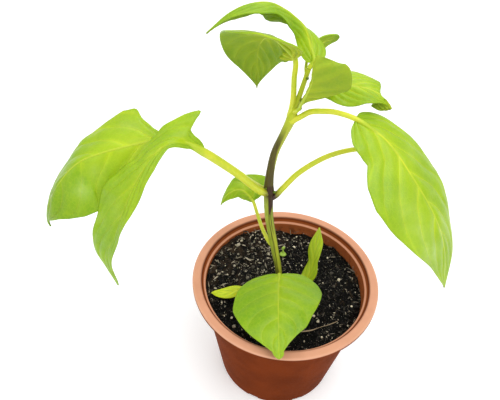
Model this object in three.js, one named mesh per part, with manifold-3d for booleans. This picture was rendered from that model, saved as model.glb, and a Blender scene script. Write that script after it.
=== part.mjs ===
// A young bell pepper plant in a round plastic nursery pot.
//
// Frame: millimetres, +Z up, origin at the centre of the pot's flat base. -Y is the front of the plant.
// The pot is a thin tapered shell with a flat flange, filled with potting soil. The stem stands in a plain
// hole in the soil. Every leaf is one solid: a petiole that runs on as the midrib under a thin, arched blade.
import * as THREE from "three";
import { mergeVertices } from "three/addons/utils/BufferGeometryUtils.js";
import Module from "manifold-3d";

const wasm = await Module();
wasm.setup();

// ---------------------------------------------------------------- driving dimensions
const GAP = 0.3; // clearance between pieces that touch
const WALL = 1.2; // pot wall and base plate
const SMALLEST_EDGE = 0.02; // shorter edges left by cuts and joints are closed up

const POT = {
  height: 90,
  rimRadius: 60, // outside of the flange
  neckRadius: 54.5, // outside of the wall, under the flange
  baseRadius: 40,
  lip: 3, // depth of the flange's turned-down edge
  ledgeDrop: 3.7, // from the rim down to the small inner stacking ledge
  ledgeWidth: 1,
  segments: 40,
  drains: 8,
  drainWidth: 7,
  drainHeight: 2.5,
};

const SOIL = { level: 77.5, clod: 1.2, heap: 2.5, rings: 5, segments: 40, holeDepth: 17.8 };

const BLADE = { thickness: 0.7, edge: 0.4, ribSides: 6, ribTip: 0.5 };

// The stem, from its foot in the soil up to the growing tip: points and the radius at each.
const STEM = [
  { at: [-3.8, 1, 60], radius: 2.1 },
  { at: [-4, 1, 84], radius: 2.1 },
  { at: [-5, 0, 97], radius: 2.1 },
  { at: [-10, 0, 122], radius: 2.4 },
  { at: [-14.5, 0, 147], radius: 2.5 },
  { at: [-16, 0, 167], radius: 2.8 },
  { at: [-16, 0, 180], radius: 2.2 },
  { at: [-14.5, 0, 194], radius: 2.1 },
  { at: [-11, 0, 206], radius: 2.1 },
  { at: [-8, 0, 216], radius: 2.5 },
  { at: [-6, 1, 225], radius: 1.4 },
  { at: [-3.5, 3, 236], radius: 1.2 },
  { at: [-2, 4, 243], radius: 1.2 },
];

// Leaf shapes. "petiole" runs from the stem to the blade and "thick" is its radius at both ends. "rib" is the
// blade's midrib from base to tip. "face" is the way the upper side looks, at equal steps from base to tip.
// The rest comes in pairs, left half and right half, seen from the base with the upper side up: "half" is the
// half width, "widest" the share of the length where it is reached, "base" and "tip" how it grows and shrinks
// (below 1 full, above 1 drawn out), "lift" the degrees by which the half rises towards the face at equal steps
// along the blade, "curl" the further bend on the way to the margin. "sweep" turns the side veins backwards at
// the base and forwards at the tip. "wave" is the height, the count and the two phases of the margin's waves.
// "trim" scales the half widths along the blade where its outline is irregular, and "spur" pulls the right
// margin out to a point.
// "grid" is the number of steps along the blade and across each half.
const LEAVES = {
  leaf_front: {
    petiole: [[-4, -1, 86], [-5, -5, 97], [-5, -9, 103.5]],
    thick: [1.5, 1.1],
    rib: [
      [-5, -9, 104], [-5.5, -22, 105], [-5.5, -36, 105], [-5, -49, 102], [-4.5, -58, 98], [-4, -63, 95],
    ],
    face: [[-0.1, -0.2, 1], [-0.15, -0.2, 1], [-0.1, -0.5, 1]],
    half: [27, 29.5], widest: [0.34, 0.5], base: [0.6, 0.62], tip: [0.9, 0.9], sweep: [-25, 12],
    lift: [[0, -2, 0], [0, -2, 0]],
    trim: [
      [1, 1, 1, 1, 1, 0.97, 0.91, 0.84, 0.82, 0.65, 0.53, 0.45, 1.1],
      [1, 1, 1, 1, 1, 0.98, 0.96, 0.88, 0.82, 0.74, 0.61, 0.44, 0.75],
    ],
    curl: [-14, -14], wave: [1.0, 2.5, 0.1, 0.6], grid: [14, 3],
  },
  leaf_low_left: {
    petiole: [[-8.5, 1, 117], [-12.6, 1.5, 121.5], [-17.2, 8, 126], [-21.3, 17, 131], [-24, 24, 133.5]],
    thick: [1.3, 1.0],
    rib: [
      [-24, 24, 133.5], [-27.8, 27, 136.6], [-32.6, 29.5, 137.8], [-38.1, 29, 135.9], [-42.2, 27.5, 131.8],
      [-44.6, 26, 127],
    ],
    face: [[-0.2, -0.2, 1], [-0.2, -0.1, 1], [-0.8, 0, 0.6]],
    half: [5.4, 18], widest: [0.35, 0.2], base: [0.5, 1], tip: [0.9, 1], sweep: [-24, 22],
    lift: [[-45, -45, -30], [28, 10, -5]],
    trim: [[1, 1, 1, 1, 1, 1], [0.8, 0.62, 1, 0.86, 0.68, 0.66, 0.5, 0.4, 0.5, 0.75, 0.8]],
    curl: [-10, -10], wave: [0.4, 2.5, 0.1, 0.6], grid: [11, 2],
  },
  leaf_right: {
    petiole: [[-8, -1, 215.5], [-4, -2, 219], [0.5, -4, 224], [6, -7, 227], [12, -10, 229], [22, -15, 229]],
    thick: [1.5, 1.3],
    rib: [[22, -15, 229], [36, -19, 222], [50, -29, 209], [65, -38, 190], [73, -42, 173], [78, -48, 150]],
    face: [[0.3, -0.3, 0.9], [0.5, -0.4, 0.75], [0.7, -0.4, 0.5]],
    half: [21, 27], widest: [0.45, 0.5], base: [0.5, 0.5], tip: [0.8, 1.1], sweep: [-30, 10],
    lift: [[-5, -5, 0], [-5, -5, 0]],
    trim: [
      [1, 1, 1, 1, 1.05, 1.15, 1, 1, 1.1, 1.2, 1],
      [0.9, 1, 0.93, 0.78, 1, 1.07, 1, 0.93, 0.9, 0.87, 0.85, 0.9, 1],
    ],
    curl: [-12, -12], wave: [0.7, 3.5, 0.1, 0.8], grid: [15, 3],
  },
  leaf_right_lower: {
    petiole: [
      [-15, 0, 160.5], [-12, 0, 162.5], [-8.3, 0, 168.5], [0, 0, 181.3], [15, 1, 193.5], [30, 2, 198],
    ],
    thick: [1.7, 1.3],
    rib: [[30, 2, 198], [40, 2, 196], [50, 0, 187], [58, -4, 175], [64, -8, 161]],
    face: [[0.2, -0.3, 0.9], [0.5, -0.3, 0.8], [0.8, -0.2, 0.5]],
    half: [14, 14], widest: [0.4, 0.4], base: [0.6, 0.6], tip: [1.1, 1.1], sweep: [-20, 15],
    lift: [[0, 0, 0], [0, 0, 0]],
    curl: [-10, -10], wave: [0.8, 2.5, 0.1, 0.6], grid: [11, 2],
  },
  leaf_left: {
    petiole: [[-17, -0.5, 165.5], [-20, -3, 168], [-32, -8, 183.3], [-42, -11.7, 194.7], [-50, -14.5, 203]],
    thick: [2.2, 2.3],
    rib: [
      [-50, -14.5, 203], [-57, -17, 210], [-65, -21, 214], [-72, -26, 211], [-79, -32, 203],
      [-85.5, -38, 190], [-92.5, -43, 171], [-97.5, -46, 156], [-94, -49, 136],
    ],
    face: [[-0.1, -0.6, 0.8], [-0.8, -0.4, 0.5], [-0.8, -0.5, 0.2]],
    half: [8, 17], widest: [0.4, 0.45], base: [0.9, 0.4], tip: [0.8, 0.75], sweep: [15, 12],
    lift: [[0, 0, 10, 0], [10, -30, -5, 30, 32, 25, 10]],
    trim: [
      [1, 0.9, 0.4, 0.85, 0.95, 1, 1, 0.85, 1, 1, 1],
      [0.6, 0.55, 1.05, 0.93, 0.85, 0.75, 0.85, 0.9, 0.95, 1, 1, 1, 1, 1, 1, 1, 1],
    ],
    spur: { at: 0.11, spread: 0.018, pull: [10, 5, 5] },
    curl: [-10, -12], wave: [1.0, 3.5, 0.1, 0.6], grid: [16, 3],
  },
  leaf_left_rear: {
    petiole: [
      [-16, 3.8, 163], [-20.3, 3, 165.3], [-32, -3, 179.5], [-43, -7, 191], [-57, -9, 203], [-67, -8, 204],
    ],
    thick: [1.5, 1.3],
    rib: [
      [-67, -8, 204], [-79, -8, 203.5], [-91, -11, 201], [-103, -15, 199], [-114, -19, 195],
      [-125, -24, 183], [-131, -27, 171], [-133, -28, 161], [-131.3, -30, 158.5],
    ],
    face: [[0, -0.35, 0.9], [-0.15, -0.35, 0.9], [-0.9, -0.4, 0.5]],
    half: [28, 24], widest: [0.48, 0.2], base: [0.9, 1.9], tip: [1.1, 1.1], sweep: [5, 12],
    lift: [[-30, -38, -36, -25, -5], [5, -5, -26, -22, -5]],
    trim: [[1, 1, 1, 1, 1, 1, 1, 1, 0.98, 0.8, 0.5], [1, 0.62, 0.98, 0.97, 0.97, 1, 1, 1.2, 1.4, 1.4, 1]],
    spur: { at: 0.165, spread: 0.018, pull: [1.3, 1.7, 2] },
    curl: [-12, -12], wave: [1.0, 3.5, 0.1, 0.6], grid: [14, 3],
  },
  leaf_top_rear: {
    petiole: [[-8.5, 1, 217], [-8, 0.5, 228], [-8.5, 2, 238], [-9, 4, 248]],
    thick: [1.55, 1.3],
    rib: [
      [-9, 4, 248], [-13, 7, 253], [-18, 12, 254], [-23, 20, 250], [-26, 27, 241], [-26.5, 33, 227],
      [-26, 36, 210],
    ],
    face: [[0, 0.62, 0.78], [0, 0.85, 0.5], [0, 1, 0.1]],
    half: [23, 17], widest: [0.3, 0.36], base: [0.5, 0.5], tip: [1.2, 1.2], sweep: [-8, 10],
    lift: [[0, -2, -6], [-10, -20, -10]],
    curl: [-10, -14], wave: [1.0, 2.5, 0.1, 0.6], grid: [12, 3],
  },
  leaf_top_arch: {
    petiole: [[-1.7, 4.1, 243.6], [-1, 4.2, 245.2], [0, 4.5, 247]],
    thick: [1.0, 0.9],
    rib: [
      [0, 4.5, 247], [-2, 8, 253], [-5, 11, 260], [-10, 12, 265], [-15, 11, 269], [-22, 8, 273.5],
      [-31, 4, 274.5], [-40, 0, 271.5], [-50, -4, 263],
    ],
    face: [[0, -0.8, 0.5], [0, -0.3, 0.95], [-0.3, -0.2, 0.9]],
    half: [8.3, 9.5], widest: [0.25, 0.13], base: [0.4, 0.5], tip: [1.1, 1.0], sweep: [-20, 10],
    lift: [[0, 0, -10, -15, 0], [0, -80, -85, -80, -70]],
    trim: [
      [1, 0.9, 0.8, 0.72, 0.7, 0.8, 1, 1, 1, 1, 1], [1, 1, 1, 1.45, 1.38, 1.15, 1.05, 1.45, 1.6, 1.2, 1],
    ],
    curl: [-10, -10], wave: [0.6, 2.5, 0.1, 0.6], grid: [14, 2],
  },
  leaf_top_front: {
    petiole: [[-7, 0.5, 221], [-6.3, -2.3, 222.5], [-5, -4.2, 225.5]],
    thick: [1.1, 0.9],
    rib: [
      [-5, -4.2, 225.5], [-3.5, -7.5, 233], [-2, -11.5, 241.5], [-1.2, -14, 249], [-1.3, -14, 255.5],
      [-0.3, -12, 259.5],
    ],
    face: [[0.3, 0.9, -0.2], [0.3, 0.9, 0], [0.3, 0.9, 0.3]],
    half: [18, 11], widest: [0.62, 0.5], base: [3.2, 0.9], tip: [0.5, 0.8], sweep: [35, 12],
    lift: [[5, 5, 5], [85, 85, 85]],
    curl: [8, 8], wave: [0.5, 2.5, 0.1, 0.6], grid: [12, 2],
  },
  leaf_top_right: {
    petiole: [[-6.5, 1, 222], [-3, 3, 226], [1, 3, 230], [4, 2, 233]],
    thick: [1.0, 0.9],
    rib: [[4, 2, 233], [11, 2, 237], [19, 0, 238], [28, -2.2, 238], [34.7, -4, 235], [38.5, -6, 230.5]],
    face: [[-0.2, -0.3, 0.9], [0.1, -0.3, 0.9], [0.4, -0.3, 0.9]],
    half: [12, 11], widest: [0.5, 0.4], base: [0.6, 0.6], tip: [0.3, 1.2], sweep: [-20, 10],
    lift: [[0, -3, -5, -8, -12, -12, -12, -95, -110], [0, -5, -5, -5, -5]],
    curl: [-14, -14], wave: [0.6, 2.5, 0.1, 0.6], grid: [12, 2],
  },
  leaf_top_bud: {
    petiole: [[-2.6, 3.5, 239], [-3, 9, 241], [-1.5, 16, 244]],
    thick: [0.8, 0.7],
    rib: [[-1.5, 16, 244], [3, 20, 247.5], [7.5, 23, 248.5], [12.5, 26, 248]],
    face: [[0, 1, 0.1], [0, 1, 0.1], [0, 1, 0.2]],
    half: [3.8, 3.6], widest: [0.4, 0.7], base: [0.5, 0.6], tip: [0.5, 0.35], sweep: [-10, 10],
    lift: [[0, 0, 0], [0, 0, 0]],
    curl: [-10, -10], wave: [0.2, 1.5, 0.1, 0.6], grid: [7, 2],
  },
  cotyledon_right: {
    petiole: [[-2, 2, 81], [3, 2, 82], [10, 2, 82]],
    thick: [0.9, 0.8],
    rib: [[10, 2, 82], [14, 4, 86], [17, 9, 92], [18, 15, 98], [19, 22, 102], [21, 31, 106]],
    face: [[-0.6, -0.4, 0.6], [-0.7, -0.4, 0.5], [-0.8, -0.3, 0.5]],
    half: [7, 7], widest: [0.5, 0.5], base: [0.5, 0.5], tip: [0.9, 0.9], sweep: [-10, 10],
    lift: [[0, 0, 0], [0, 0, 0]],
    trim: [[1, 1, 0.9, 0.7, 0.9, 1, 1, 1], [1, 1, 0.9, 0.55, 0.75, 1, 1, 1]],
    curl: [-10, -10], wave: [0.6, 1.5, 0.1, 0.6], grid: [9, 2],
  },
  cotyledon_left: {
    petiole: [[-6, 0, 80], [-12, -2, 81], [-20, -6, 82]],
    thick: [0.9, 0.8],
    rib: [[-20, -6, 82], [-30, -9, 85], [-39, -12, 85.5], [-47, -12, 85]],
    face: [[0, -0.2, 1], [0, -0.2, 1], [-0.1, -0.2, 1]],
    half: [4, 4], widest: [0.55, 0.55], base: [0.7, 0.7], tip: [0.7, 0.7], sweep: [0, 8],
    lift: [[0, 0, 0], [0, 0, 0]],
    curl: [-10, -10], wave: [0.2, 1.5, 0.1, 0.6], grid: [8, 2],
  },
};

// ---------------------------------------------------------------- small helpers
const vec = (p) => new THREE.Vector3(...p);
const radians = THREE.MathUtils.degToRad;
const lerp = THREE.MathUtils.lerp;

// A smooth curve through points placed by hand.
const curveThrough = (points) => new THREE.CatmullRomCurve3(points.map(vec), false, "centripetal");

// The value at share t between values given at equal steps.
function along(values, t) {
  const place = THREE.MathUtils.clamp(t, 0, 1) * (values.length - 1);
  const i = Math.min(Math.floor(place), values.length - 2);
  return lerp(values[i], values[i + 1], place - i);
}

const alongVector = (vectors, t) =>
  new THREE.Vector3(...[0, 1, 2].map((axis) => along(vectors.map((v) => v[axis]), t)));

// A closed three.js geometry as a solid that can be cut and joined.
function solid(geometry) {
  const bare = geometry.clone();
  bare.deleteAttribute("normal");
  bare.deleteAttribute("uv");
  const merged = mergeVertices(bare, 1e-4);
  return new wasm.Manifold(
    new wasm.Mesh({
      numProp: 3,
      vertProperties: new Float32Array(merged.attributes.position.array),
      triVerts: new Uint32Array(merged.index.array),
    }),
  );
}

// A solid as a three.js geometry, without the needle-thin triangles that a cut or a joint leaves.
function geometryOf(made) {
  const { vertProperties, triVerts } = made.simplify(SMALLEST_EDGE).getMesh();
  const geometry = new THREE.BufferGeometry();
  geometry.setAttribute("position", new THREE.BufferAttribute(vertProperties, 3));
  geometry.setIndex(new THREE.BufferAttribute(triVerts, 1));
  geometry.computeVertexNormals();
  return geometry;
}

function indexed(points, triangles) {
  const geometry = new THREE.BufferGeometry();
  geometry.setAttribute("position", new THREE.Float32BufferAttribute(points.flatMap((p) => p.toArray()), 3));
  geometry.setIndex(triangles.flat());
  return geometry;
}

// A round tube that tapers along a curve. radiusAt(t) is its radius at share t of its length.
function taperedTube(curve, radiusAt, steps, sides) {
  const frames = curve.computeFrenetFrames(steps, false);
  const points = [];
  for (let i = 0; i <= steps; i++) {
    const centre = curve.getPointAt(i / steps);
    for (let k = 0; k < sides; k++) {
      const turn = (2 * Math.PI * k) / sides;
      points.push(
        centre
          .clone()
          .addScaledVector(frames.normals[i], Math.cos(turn) * radiusAt(i / steps))
          .addScaledVector(frames.binormals[i], Math.sin(turn) * radiusAt(i / steps)),
      );
    }
  }
  const start = points.push(curve.getPointAt(0)) - 1;
  const end = points.push(curve.getPointAt(1)) - 1;
  const triangles = [];
  for (let k = 0; k < sides; k++) {
    const next = (k + 1) % sides;
    triangles.push([start, next, k]);
    triangles.push([end, steps * sides + k, steps * sides + next]);
    for (let i = 0; i < steps; i++) {
      const a = i * sides + k;
      const b = i * sides + next;
      triangles.push([a, b, b + sides], [a, b + sides, a + sides]);
    }
  }
  return indexed(points, triangles);
}

// ---------------------------------------------------------------- leaves
// Share of the full half width at share t of the blade's length: round at the base, drawn out at the tip.
function breadth(leaf, half, t) {
  const widest = leaf.widest[half];
  return t < widest
    ? Math.sin((Math.PI / 2) * (t / widest)) ** leaf.base[half]
    : Math.cos((Math.PI / 2) * ((t - widest) / (1 - widest))) ** leaf.tip[half];
}

// Stations along the blade, closer together towards both ends.
function stationAt(share) {
  return lerp(share, (1 - Math.cos(Math.PI * share)) / 2, 0.6);
}

// A point of the blade's upper side: t runs from base to tip, across from -1 (right margin) to 1 (left margin).
function bladePoint(leaf, curve, t, across) {
  const tangent = curve.getTangentAt(t);
  const face = alongVector(leaf.face, t);
  face.addScaledVector(tangent, -face.dot(tangent)).normalize();
  const side = face.clone().cross(tangent).multiplyScalar(Math.sign(across) || 1);
  const sweep = radians(lerp(leaf.sweep[0], leaf.sweep[1], t));
  const outward = side.multiplyScalar(Math.cos(sweep)).addScaledVector(tangent, Math.sin(sweep));
  const half = across >= 0 ? 0 : 1;
  const share = breadth(leaf, half, t);
  const trim = leaf.trim ? along(leaf.trim[half], t) : 1;
  const width = Math.max(leaf.half[half] * share * trim, BLADE.edge);
  const lift = along(leaf.lift[half], t);
  const curl = leaf.curl[half];
  const reach = Math.abs(across);
  const bends = 6;
  const point = curve.getPointAt(t);
  for (let i = 0; i < bends; i++) {
    const angle = radians(lift + curl * reach * ((i + 0.5) / bends));
    point.addScaledVector(outward, (Math.cos(angle) * width * reach) / bends);
    point.addScaledVector(face, (Math.sin(angle) * width * reach) / bends);
  }
  const [height, count, ...phases] = leaf.wave;
  const wave = height * Math.sin(2 * Math.PI * (count * t + phases[half])) * reach ** 2 * share;
  point.addScaledVector(face, wave);
  if (leaf.spur && half === 1) {
    const { at, spread, pull } = leaf.spur;
    point.addScaledVector(vec(pull), Math.exp(-(((t - at) / spread) ** 2)) * reach ** 2);
  }
  return point;
}

// The blade: a grid of the upper side, the same grid one thickness lower, and the margin between them.
function bladeGeometry(leaf) {
  const curve = curveThrough(leaf.rib);
  const rows = leaf.grid[0];
  const columns = 2 * leaf.grid[1];
  const at = (i, j) => bladePoint(leaf, curve, stationAt(i / rows), (2 * j) / columns - 1);
  const upper = [];
  for (let i = 0; i <= rows; i++) for (let j = 0; j <= columns; j++) upper.push(at(i, j));
  const index = (i, j) => i * (columns + 1) + j;
  const lower = upper.map((point, n) => {
    const i = Math.floor(n / (columns + 1));
    const j = n % (columns + 1);
    const forward = upper[index(Math.min(i + 1, rows), j)].clone().sub(upper[index(Math.max(i - 1, 0), j)]);
    const sideways = upper[index(i, Math.min(j + 1, columns))].clone().sub(upper[index(i, Math.max(j - 1, 0))]);
    return point.clone().addScaledVector(sideways.cross(forward).normalize(), BLADE.thickness);
  });
  const below = upper.length;
  const triangles = [];
  for (let i = 0; i < rows; i++) {
    for (let j = 0; j < columns; j++) {
      const [a, b, c, d] = [index(i, j), index(i, j + 1), index(i + 1, j + 1), index(i + 1, j)];
      triangles.push([a, c, b], [a, d, c]);
      triangles.push([below + a, below + b, below + c], [below + a, below + c, below + d]);
    }
  }
  const rim = [];
  for (let j = 0; j < columns; j++) rim.push(index(0, j));
  for (let i = 0; i < rows; i++) rim.push(index(i, columns));
  for (let j = columns; j > 0; j--) rim.push(index(rows, j));
  for (let i = rows; i > 0; i--) rim.push(index(i, 0));
  rim.forEach((a, n) => {
    const b = rim[(n + 1) % rim.length];
    triangles.push([a, b, below + b], [a, below + b, below + a]);
  });
  return indexed([...upper, ...lower], triangles);
}

// The petiole, running on under the blade as its midrib, sunk so far that only its top lies in the blade.
function petioleGeometry(leaf) {
  const rib = curveThrough(leaf.rib);
  const [atStem, atBlade] = leaf.thick;
  const ribEnd = 0.35;
  const under = [0.1, 0.22, ribEnd].map((t) => {
    const face = alongVector(leaf.face, t);
    const tangent = rib.getTangentAt(t);
    face.addScaledVector(tangent, -face.dot(tangent)).normalize();
    const sunk = BLADE.thickness / 2 + 0.9 * lerp(atBlade, BLADE.ribTip, t / ribEnd);
    return rib.getPointAt(t).addScaledVector(face, -sunk).toArray();
  });
  const curve = curveThrough([...leaf.petiole, ...under]);
  const share = curveThrough(leaf.petiole).getLength() / curve.getLength();
  const radiusAt = (t) =>
    t < share ? lerp(atStem, atBlade, t / share) : lerp(atBlade, BLADE.ribTip, (t - share) / (1 - share));
  return taperedTube(curve, radiusAt, Math.round(curve.getLength() / 8), BLADE.ribSides);
}

// ---------------------------------------------------------------- stem
// The stem, or the space it needs when grown by a clearance all round.
function stemSolid(grow, sides) {
  const points = STEM.map((s) => s.at);
  const [below, last] = points.slice(-2).map(vec);
  points[points.length - 1] = last.addScaledVector(last.clone().sub(below).normalize(), grow).toArray();
  const curve = curveThrough(points);
  const steps = 32;
  const heights = STEM.map((s) => s.at[2]);
  const radiusAt = (t) => {
    const height = curve.getPointAt(t).z;
    const i = Math.min(Math.max(heights.findIndex((h) => h >= height), 1), heights.length - 1);
    const share = (height - heights[i - 1]) / (heights[i] - heights[i - 1]);
    return lerp(STEM[i - 1].radius, STEM[i].radius, THREE.MathUtils.clamp(share, 0, 1)) + grow;
  };
  return solid(taperedTube(curve, radiusAt, steps, sides));
}

// ---------------------------------------------------------------- pot and soil
const wallRadius = (z) => lerp(POT.baseRadius, POT.neckRadius, z / POT.height); // outside of the wall

function potSolid() {
  const { height: top, rimRadius: rim, lip } = POT;
  const ledge = top - POT.ledgeDrop;
  const profile = [
    [0, 0],
    [POT.baseRadius - 1, 0],
    [wallRadius(1.5), 1.5],
    [wallRadius(top - lip), top - lip],
    [rim - 1.6, top - lip + 1],
    [rim - 1.2, top - lip],
    [rim - 0.3, top - lip],
    [rim, top - lip + 0.6],
    [rim, top - 0.9],
    [rim - 0.8, top],
    [POT.neckRadius + 0.5, top],
    [POT.neckRadius - 0.4, top - 0.8],
    [wallRadius(ledge) - WALL + 0.2, ledge + 0.4],
    [wallRadius(ledge) - WALL - POT.ledgeWidth, ledge],
    [wallRadius(ledge - 1) - WALL - POT.ledgeWidth, ledge - 1.5],
    [wallRadius(ledge - 6) - WALL, ledge - 6],
    [wallRadius(3) - WALL, 3],
    [wallRadius(3) - WALL - 1.4, WALL],
    [0, WALL],
  ];
  const outline = profile.map((p) => new THREE.Vector2(...p));
  let made = solid(new THREE.LatheGeometry(outline, POT.segments).rotateX(Math.PI / 2));
  for (let i = 0; i < POT.drains; i++) {
    const slot = new THREE.BoxGeometry(9, POT.drainWidth, 2 * POT.drainHeight);
    slot.translate(POT.baseRadius, 0, 0).rotateZ((2 * Math.PI * (i + 0.5)) / POT.drains);
    made = made.subtract(solid(slot));
  }
  return made;
}

// Height of the soil above its level at a place: soft clods on a bank that falls to the front, and a heap at the
// back left.
function soilRelief(x, y) {
  const bank = -0.05 * x + 0.06 * y + 0.0008 * (x ** 2 - y ** 2);
  const heap = SOIL.heap * Math.exp(-((x + 33) ** 2 + (y - 33) ** 2) / 324);
  const clods = 0.6 * Math.sin(x * 0.21 + 1) * Math.cos(y * 0.18) + 0.4 * Math.sin(x * 0.37 - y * 0.33);
  return bank + heap + SOIL.clod * clods;
}

function soilSolid() {
  const underLedge = POT.height - POT.ledgeDrop - 7;
  const innerRadius = (z) => wallRadius(Math.min(z, underLedge)) - WALL - GAP;
  const floor = WALL + GAP;
  const points = [new THREE.Vector3(0, 0, floor)];
  // One ring of points. Its radius is a share of the pot's inside at the height the ring has there.
  const ring = (share, heightAt) => {
    for (let k = 0; k < SOIL.segments; k++) {
      const turn = (2 * Math.PI * k) / SOIL.segments;
      const place = new THREE.Vector3(Math.cos(turn), Math.sin(turn), 0);
      place.multiplyScalar(innerRadius(SOIL.level) * share);
      const height = heightAt(place.x, place.y);
      points.push(place.setLength(innerRadius(height) * share).setZ(height));
    }
  };
  ring(0.94, () => floor);
  ring(1, () => floor + 2);
  for (let n = 0; n < SOIL.rings; n++) ring(1 - n / SOIL.rings, (x, y) => SOIL.level + soilRelief(x, y));
  const crown = points.push(new THREE.Vector3(0, 0, SOIL.level + soilRelief(0, 0))) - 1;
  const rings = SOIL.rings + 2;
  const triangles = [];
  for (let k = 0; k < SOIL.segments; k++) {
    const next = (k + 1) % SOIL.segments;
    triangles.push([0, 1 + next, 1 + k]);
    for (let n = 0; n < rings - 1; n++) {
      const a = 1 + n * SOIL.segments;
      const b = a + SOIL.segments;
      triangles.push([a + k, a + next, b + next], [a + k, b + next, b + k]);
    }
    const last = 1 + (rings - 1) * SOIL.segments;
    triangles.push([last + k, last + next, crown]);
  }
  const [x, y] = STEM[0].at;
  const hole = new THREE.CylinderGeometry(STEM[0].radius + 2 * GAP, STEM[0].radius + 2 * GAP, 60, 16);
  hole.rotateX(Math.PI / 2).translate(x, y, SOIL.level - SOIL.holeDepth + 30);
  return solid(indexed(points, triangles)).subtract(solid(hole));
}

// ---------------------------------------------------------------- materials and assembly
const paint = (color, roughness) => new THREE.MeshStandardMaterial({ color, roughness, metalness: 0 });
const MATERIALS = {
  pot: paint(0x9a5233, 0.5),
  soil: paint(0x1b1a17, 1),
  stem: paint(0x6f8a2c, 0.55),
  leaf: paint(0x93c52f, 0.5),
};

const plant = new THREE.Group();

function add(name, made, material) {
  const mesh = new THREE.Mesh(geometryOf(made), material);
  mesh.name = name;
  plant.add(mesh);
}

add("pot", potSolid(), MATERIALS.pot);
add("soil", soilSolid(), MATERIALS.soil);
add("stem", stemSolid(0, 8), MATERIALS.stem);

const stemClearance = stemSolid(GAP, 8);
for (const [name, leaf] of Object.entries(LEAVES)) {
  const whole = solid(bladeGeometry(leaf)).add(solid(petioleGeometry(leaf))).subtract(stemClearance);
  const largest = whole.decompose().sort((a, b) => b.volume() - a.volume())[0];
  add(name, largest, MATERIALS.leaf);
}

export default plant;
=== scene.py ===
"""A young bell pepper plant in a round plastic nursery pot, dressed over its fixed frame.

Metres, +Z up, origin at the centre of the pot's flat base, -Y is the front of the plant. The pot, the soil,
the stem and every leaf are made again with fine shapes in the place of their solids. The tables and named
lengths of the plant and the pot are in millimetres, and become metres where a mesh is made. The settings that
a user may change and the stage are in metres.
"""

import math
import random

import bpy
import numpy as np
from bpy.props import FloatProperty, FloatVectorProperty, IntProperty, PointerProperty
from mathutils import Matrix, Vector, noise


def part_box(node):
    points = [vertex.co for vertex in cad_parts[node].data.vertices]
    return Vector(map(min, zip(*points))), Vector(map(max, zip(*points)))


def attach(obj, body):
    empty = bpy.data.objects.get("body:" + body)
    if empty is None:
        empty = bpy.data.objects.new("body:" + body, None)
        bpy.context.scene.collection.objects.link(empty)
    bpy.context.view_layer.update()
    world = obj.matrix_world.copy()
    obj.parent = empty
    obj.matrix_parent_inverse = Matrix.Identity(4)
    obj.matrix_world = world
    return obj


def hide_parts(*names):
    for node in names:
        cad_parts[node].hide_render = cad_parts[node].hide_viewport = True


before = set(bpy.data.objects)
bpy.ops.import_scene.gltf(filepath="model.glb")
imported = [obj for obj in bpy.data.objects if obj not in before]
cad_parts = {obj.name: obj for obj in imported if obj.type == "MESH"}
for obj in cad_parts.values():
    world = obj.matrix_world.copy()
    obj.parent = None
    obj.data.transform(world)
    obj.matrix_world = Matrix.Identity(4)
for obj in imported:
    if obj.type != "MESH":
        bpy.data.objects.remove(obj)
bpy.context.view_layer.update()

bl_info = {
    "name": "Potted Pepper Seedling",
    "version": (1, 0, 0),
    "blender": (4, 5, 0),
    "location": "View3D > Sidebar > Seedling",
    "description": "Makes a young bell pepper plant in a plastic nursery pot",
    "category": "Object",
}

MM = 0.001  # a millimetre in metres
BODY = "root"
POT_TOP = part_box("pot")[1].z  # metres, as is the next
RIM_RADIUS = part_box("pot")[1].x
FOOT_RADIUS = 40  # outside of the pot's wall at the table
WALL_LEAN = 14.5 / 90  # how far the wall leans out for its height
LEDGE_DROP = 3.7  # from the rim down to the small inner ledge
SLOTS = 8  # drainage slots round the foot
SLOT_SIZE = (9, 7, 5)  # along the radius, across it and up


# ---------------------------------------------------------------- shapes of the plant
# The stem from its foot in the soil to the growing tip: x, y, z and radius.
STEM = [
    (-3.8, 1, 60, 2.1),
    (-4, 1, 84, 2.1),
    (-5, 0, 97, 2.1),
    (-10, 0, 122, 2.4),
    (-14.5, 0, 147, 2.5),
    (-16, 0, 167, 2.8),
    (-16, 0, 180, 2.2),
    (-14.5, 0, 194, 2.1),
    (-11, 0, 206, 2.1),
    (-8, 0, 216, 2.5),
    (-6, 1, 225, 1.4),
    (-3.5, 3, 236, 1.2),
    (-2, 4, 243, 1.2),
]

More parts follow.
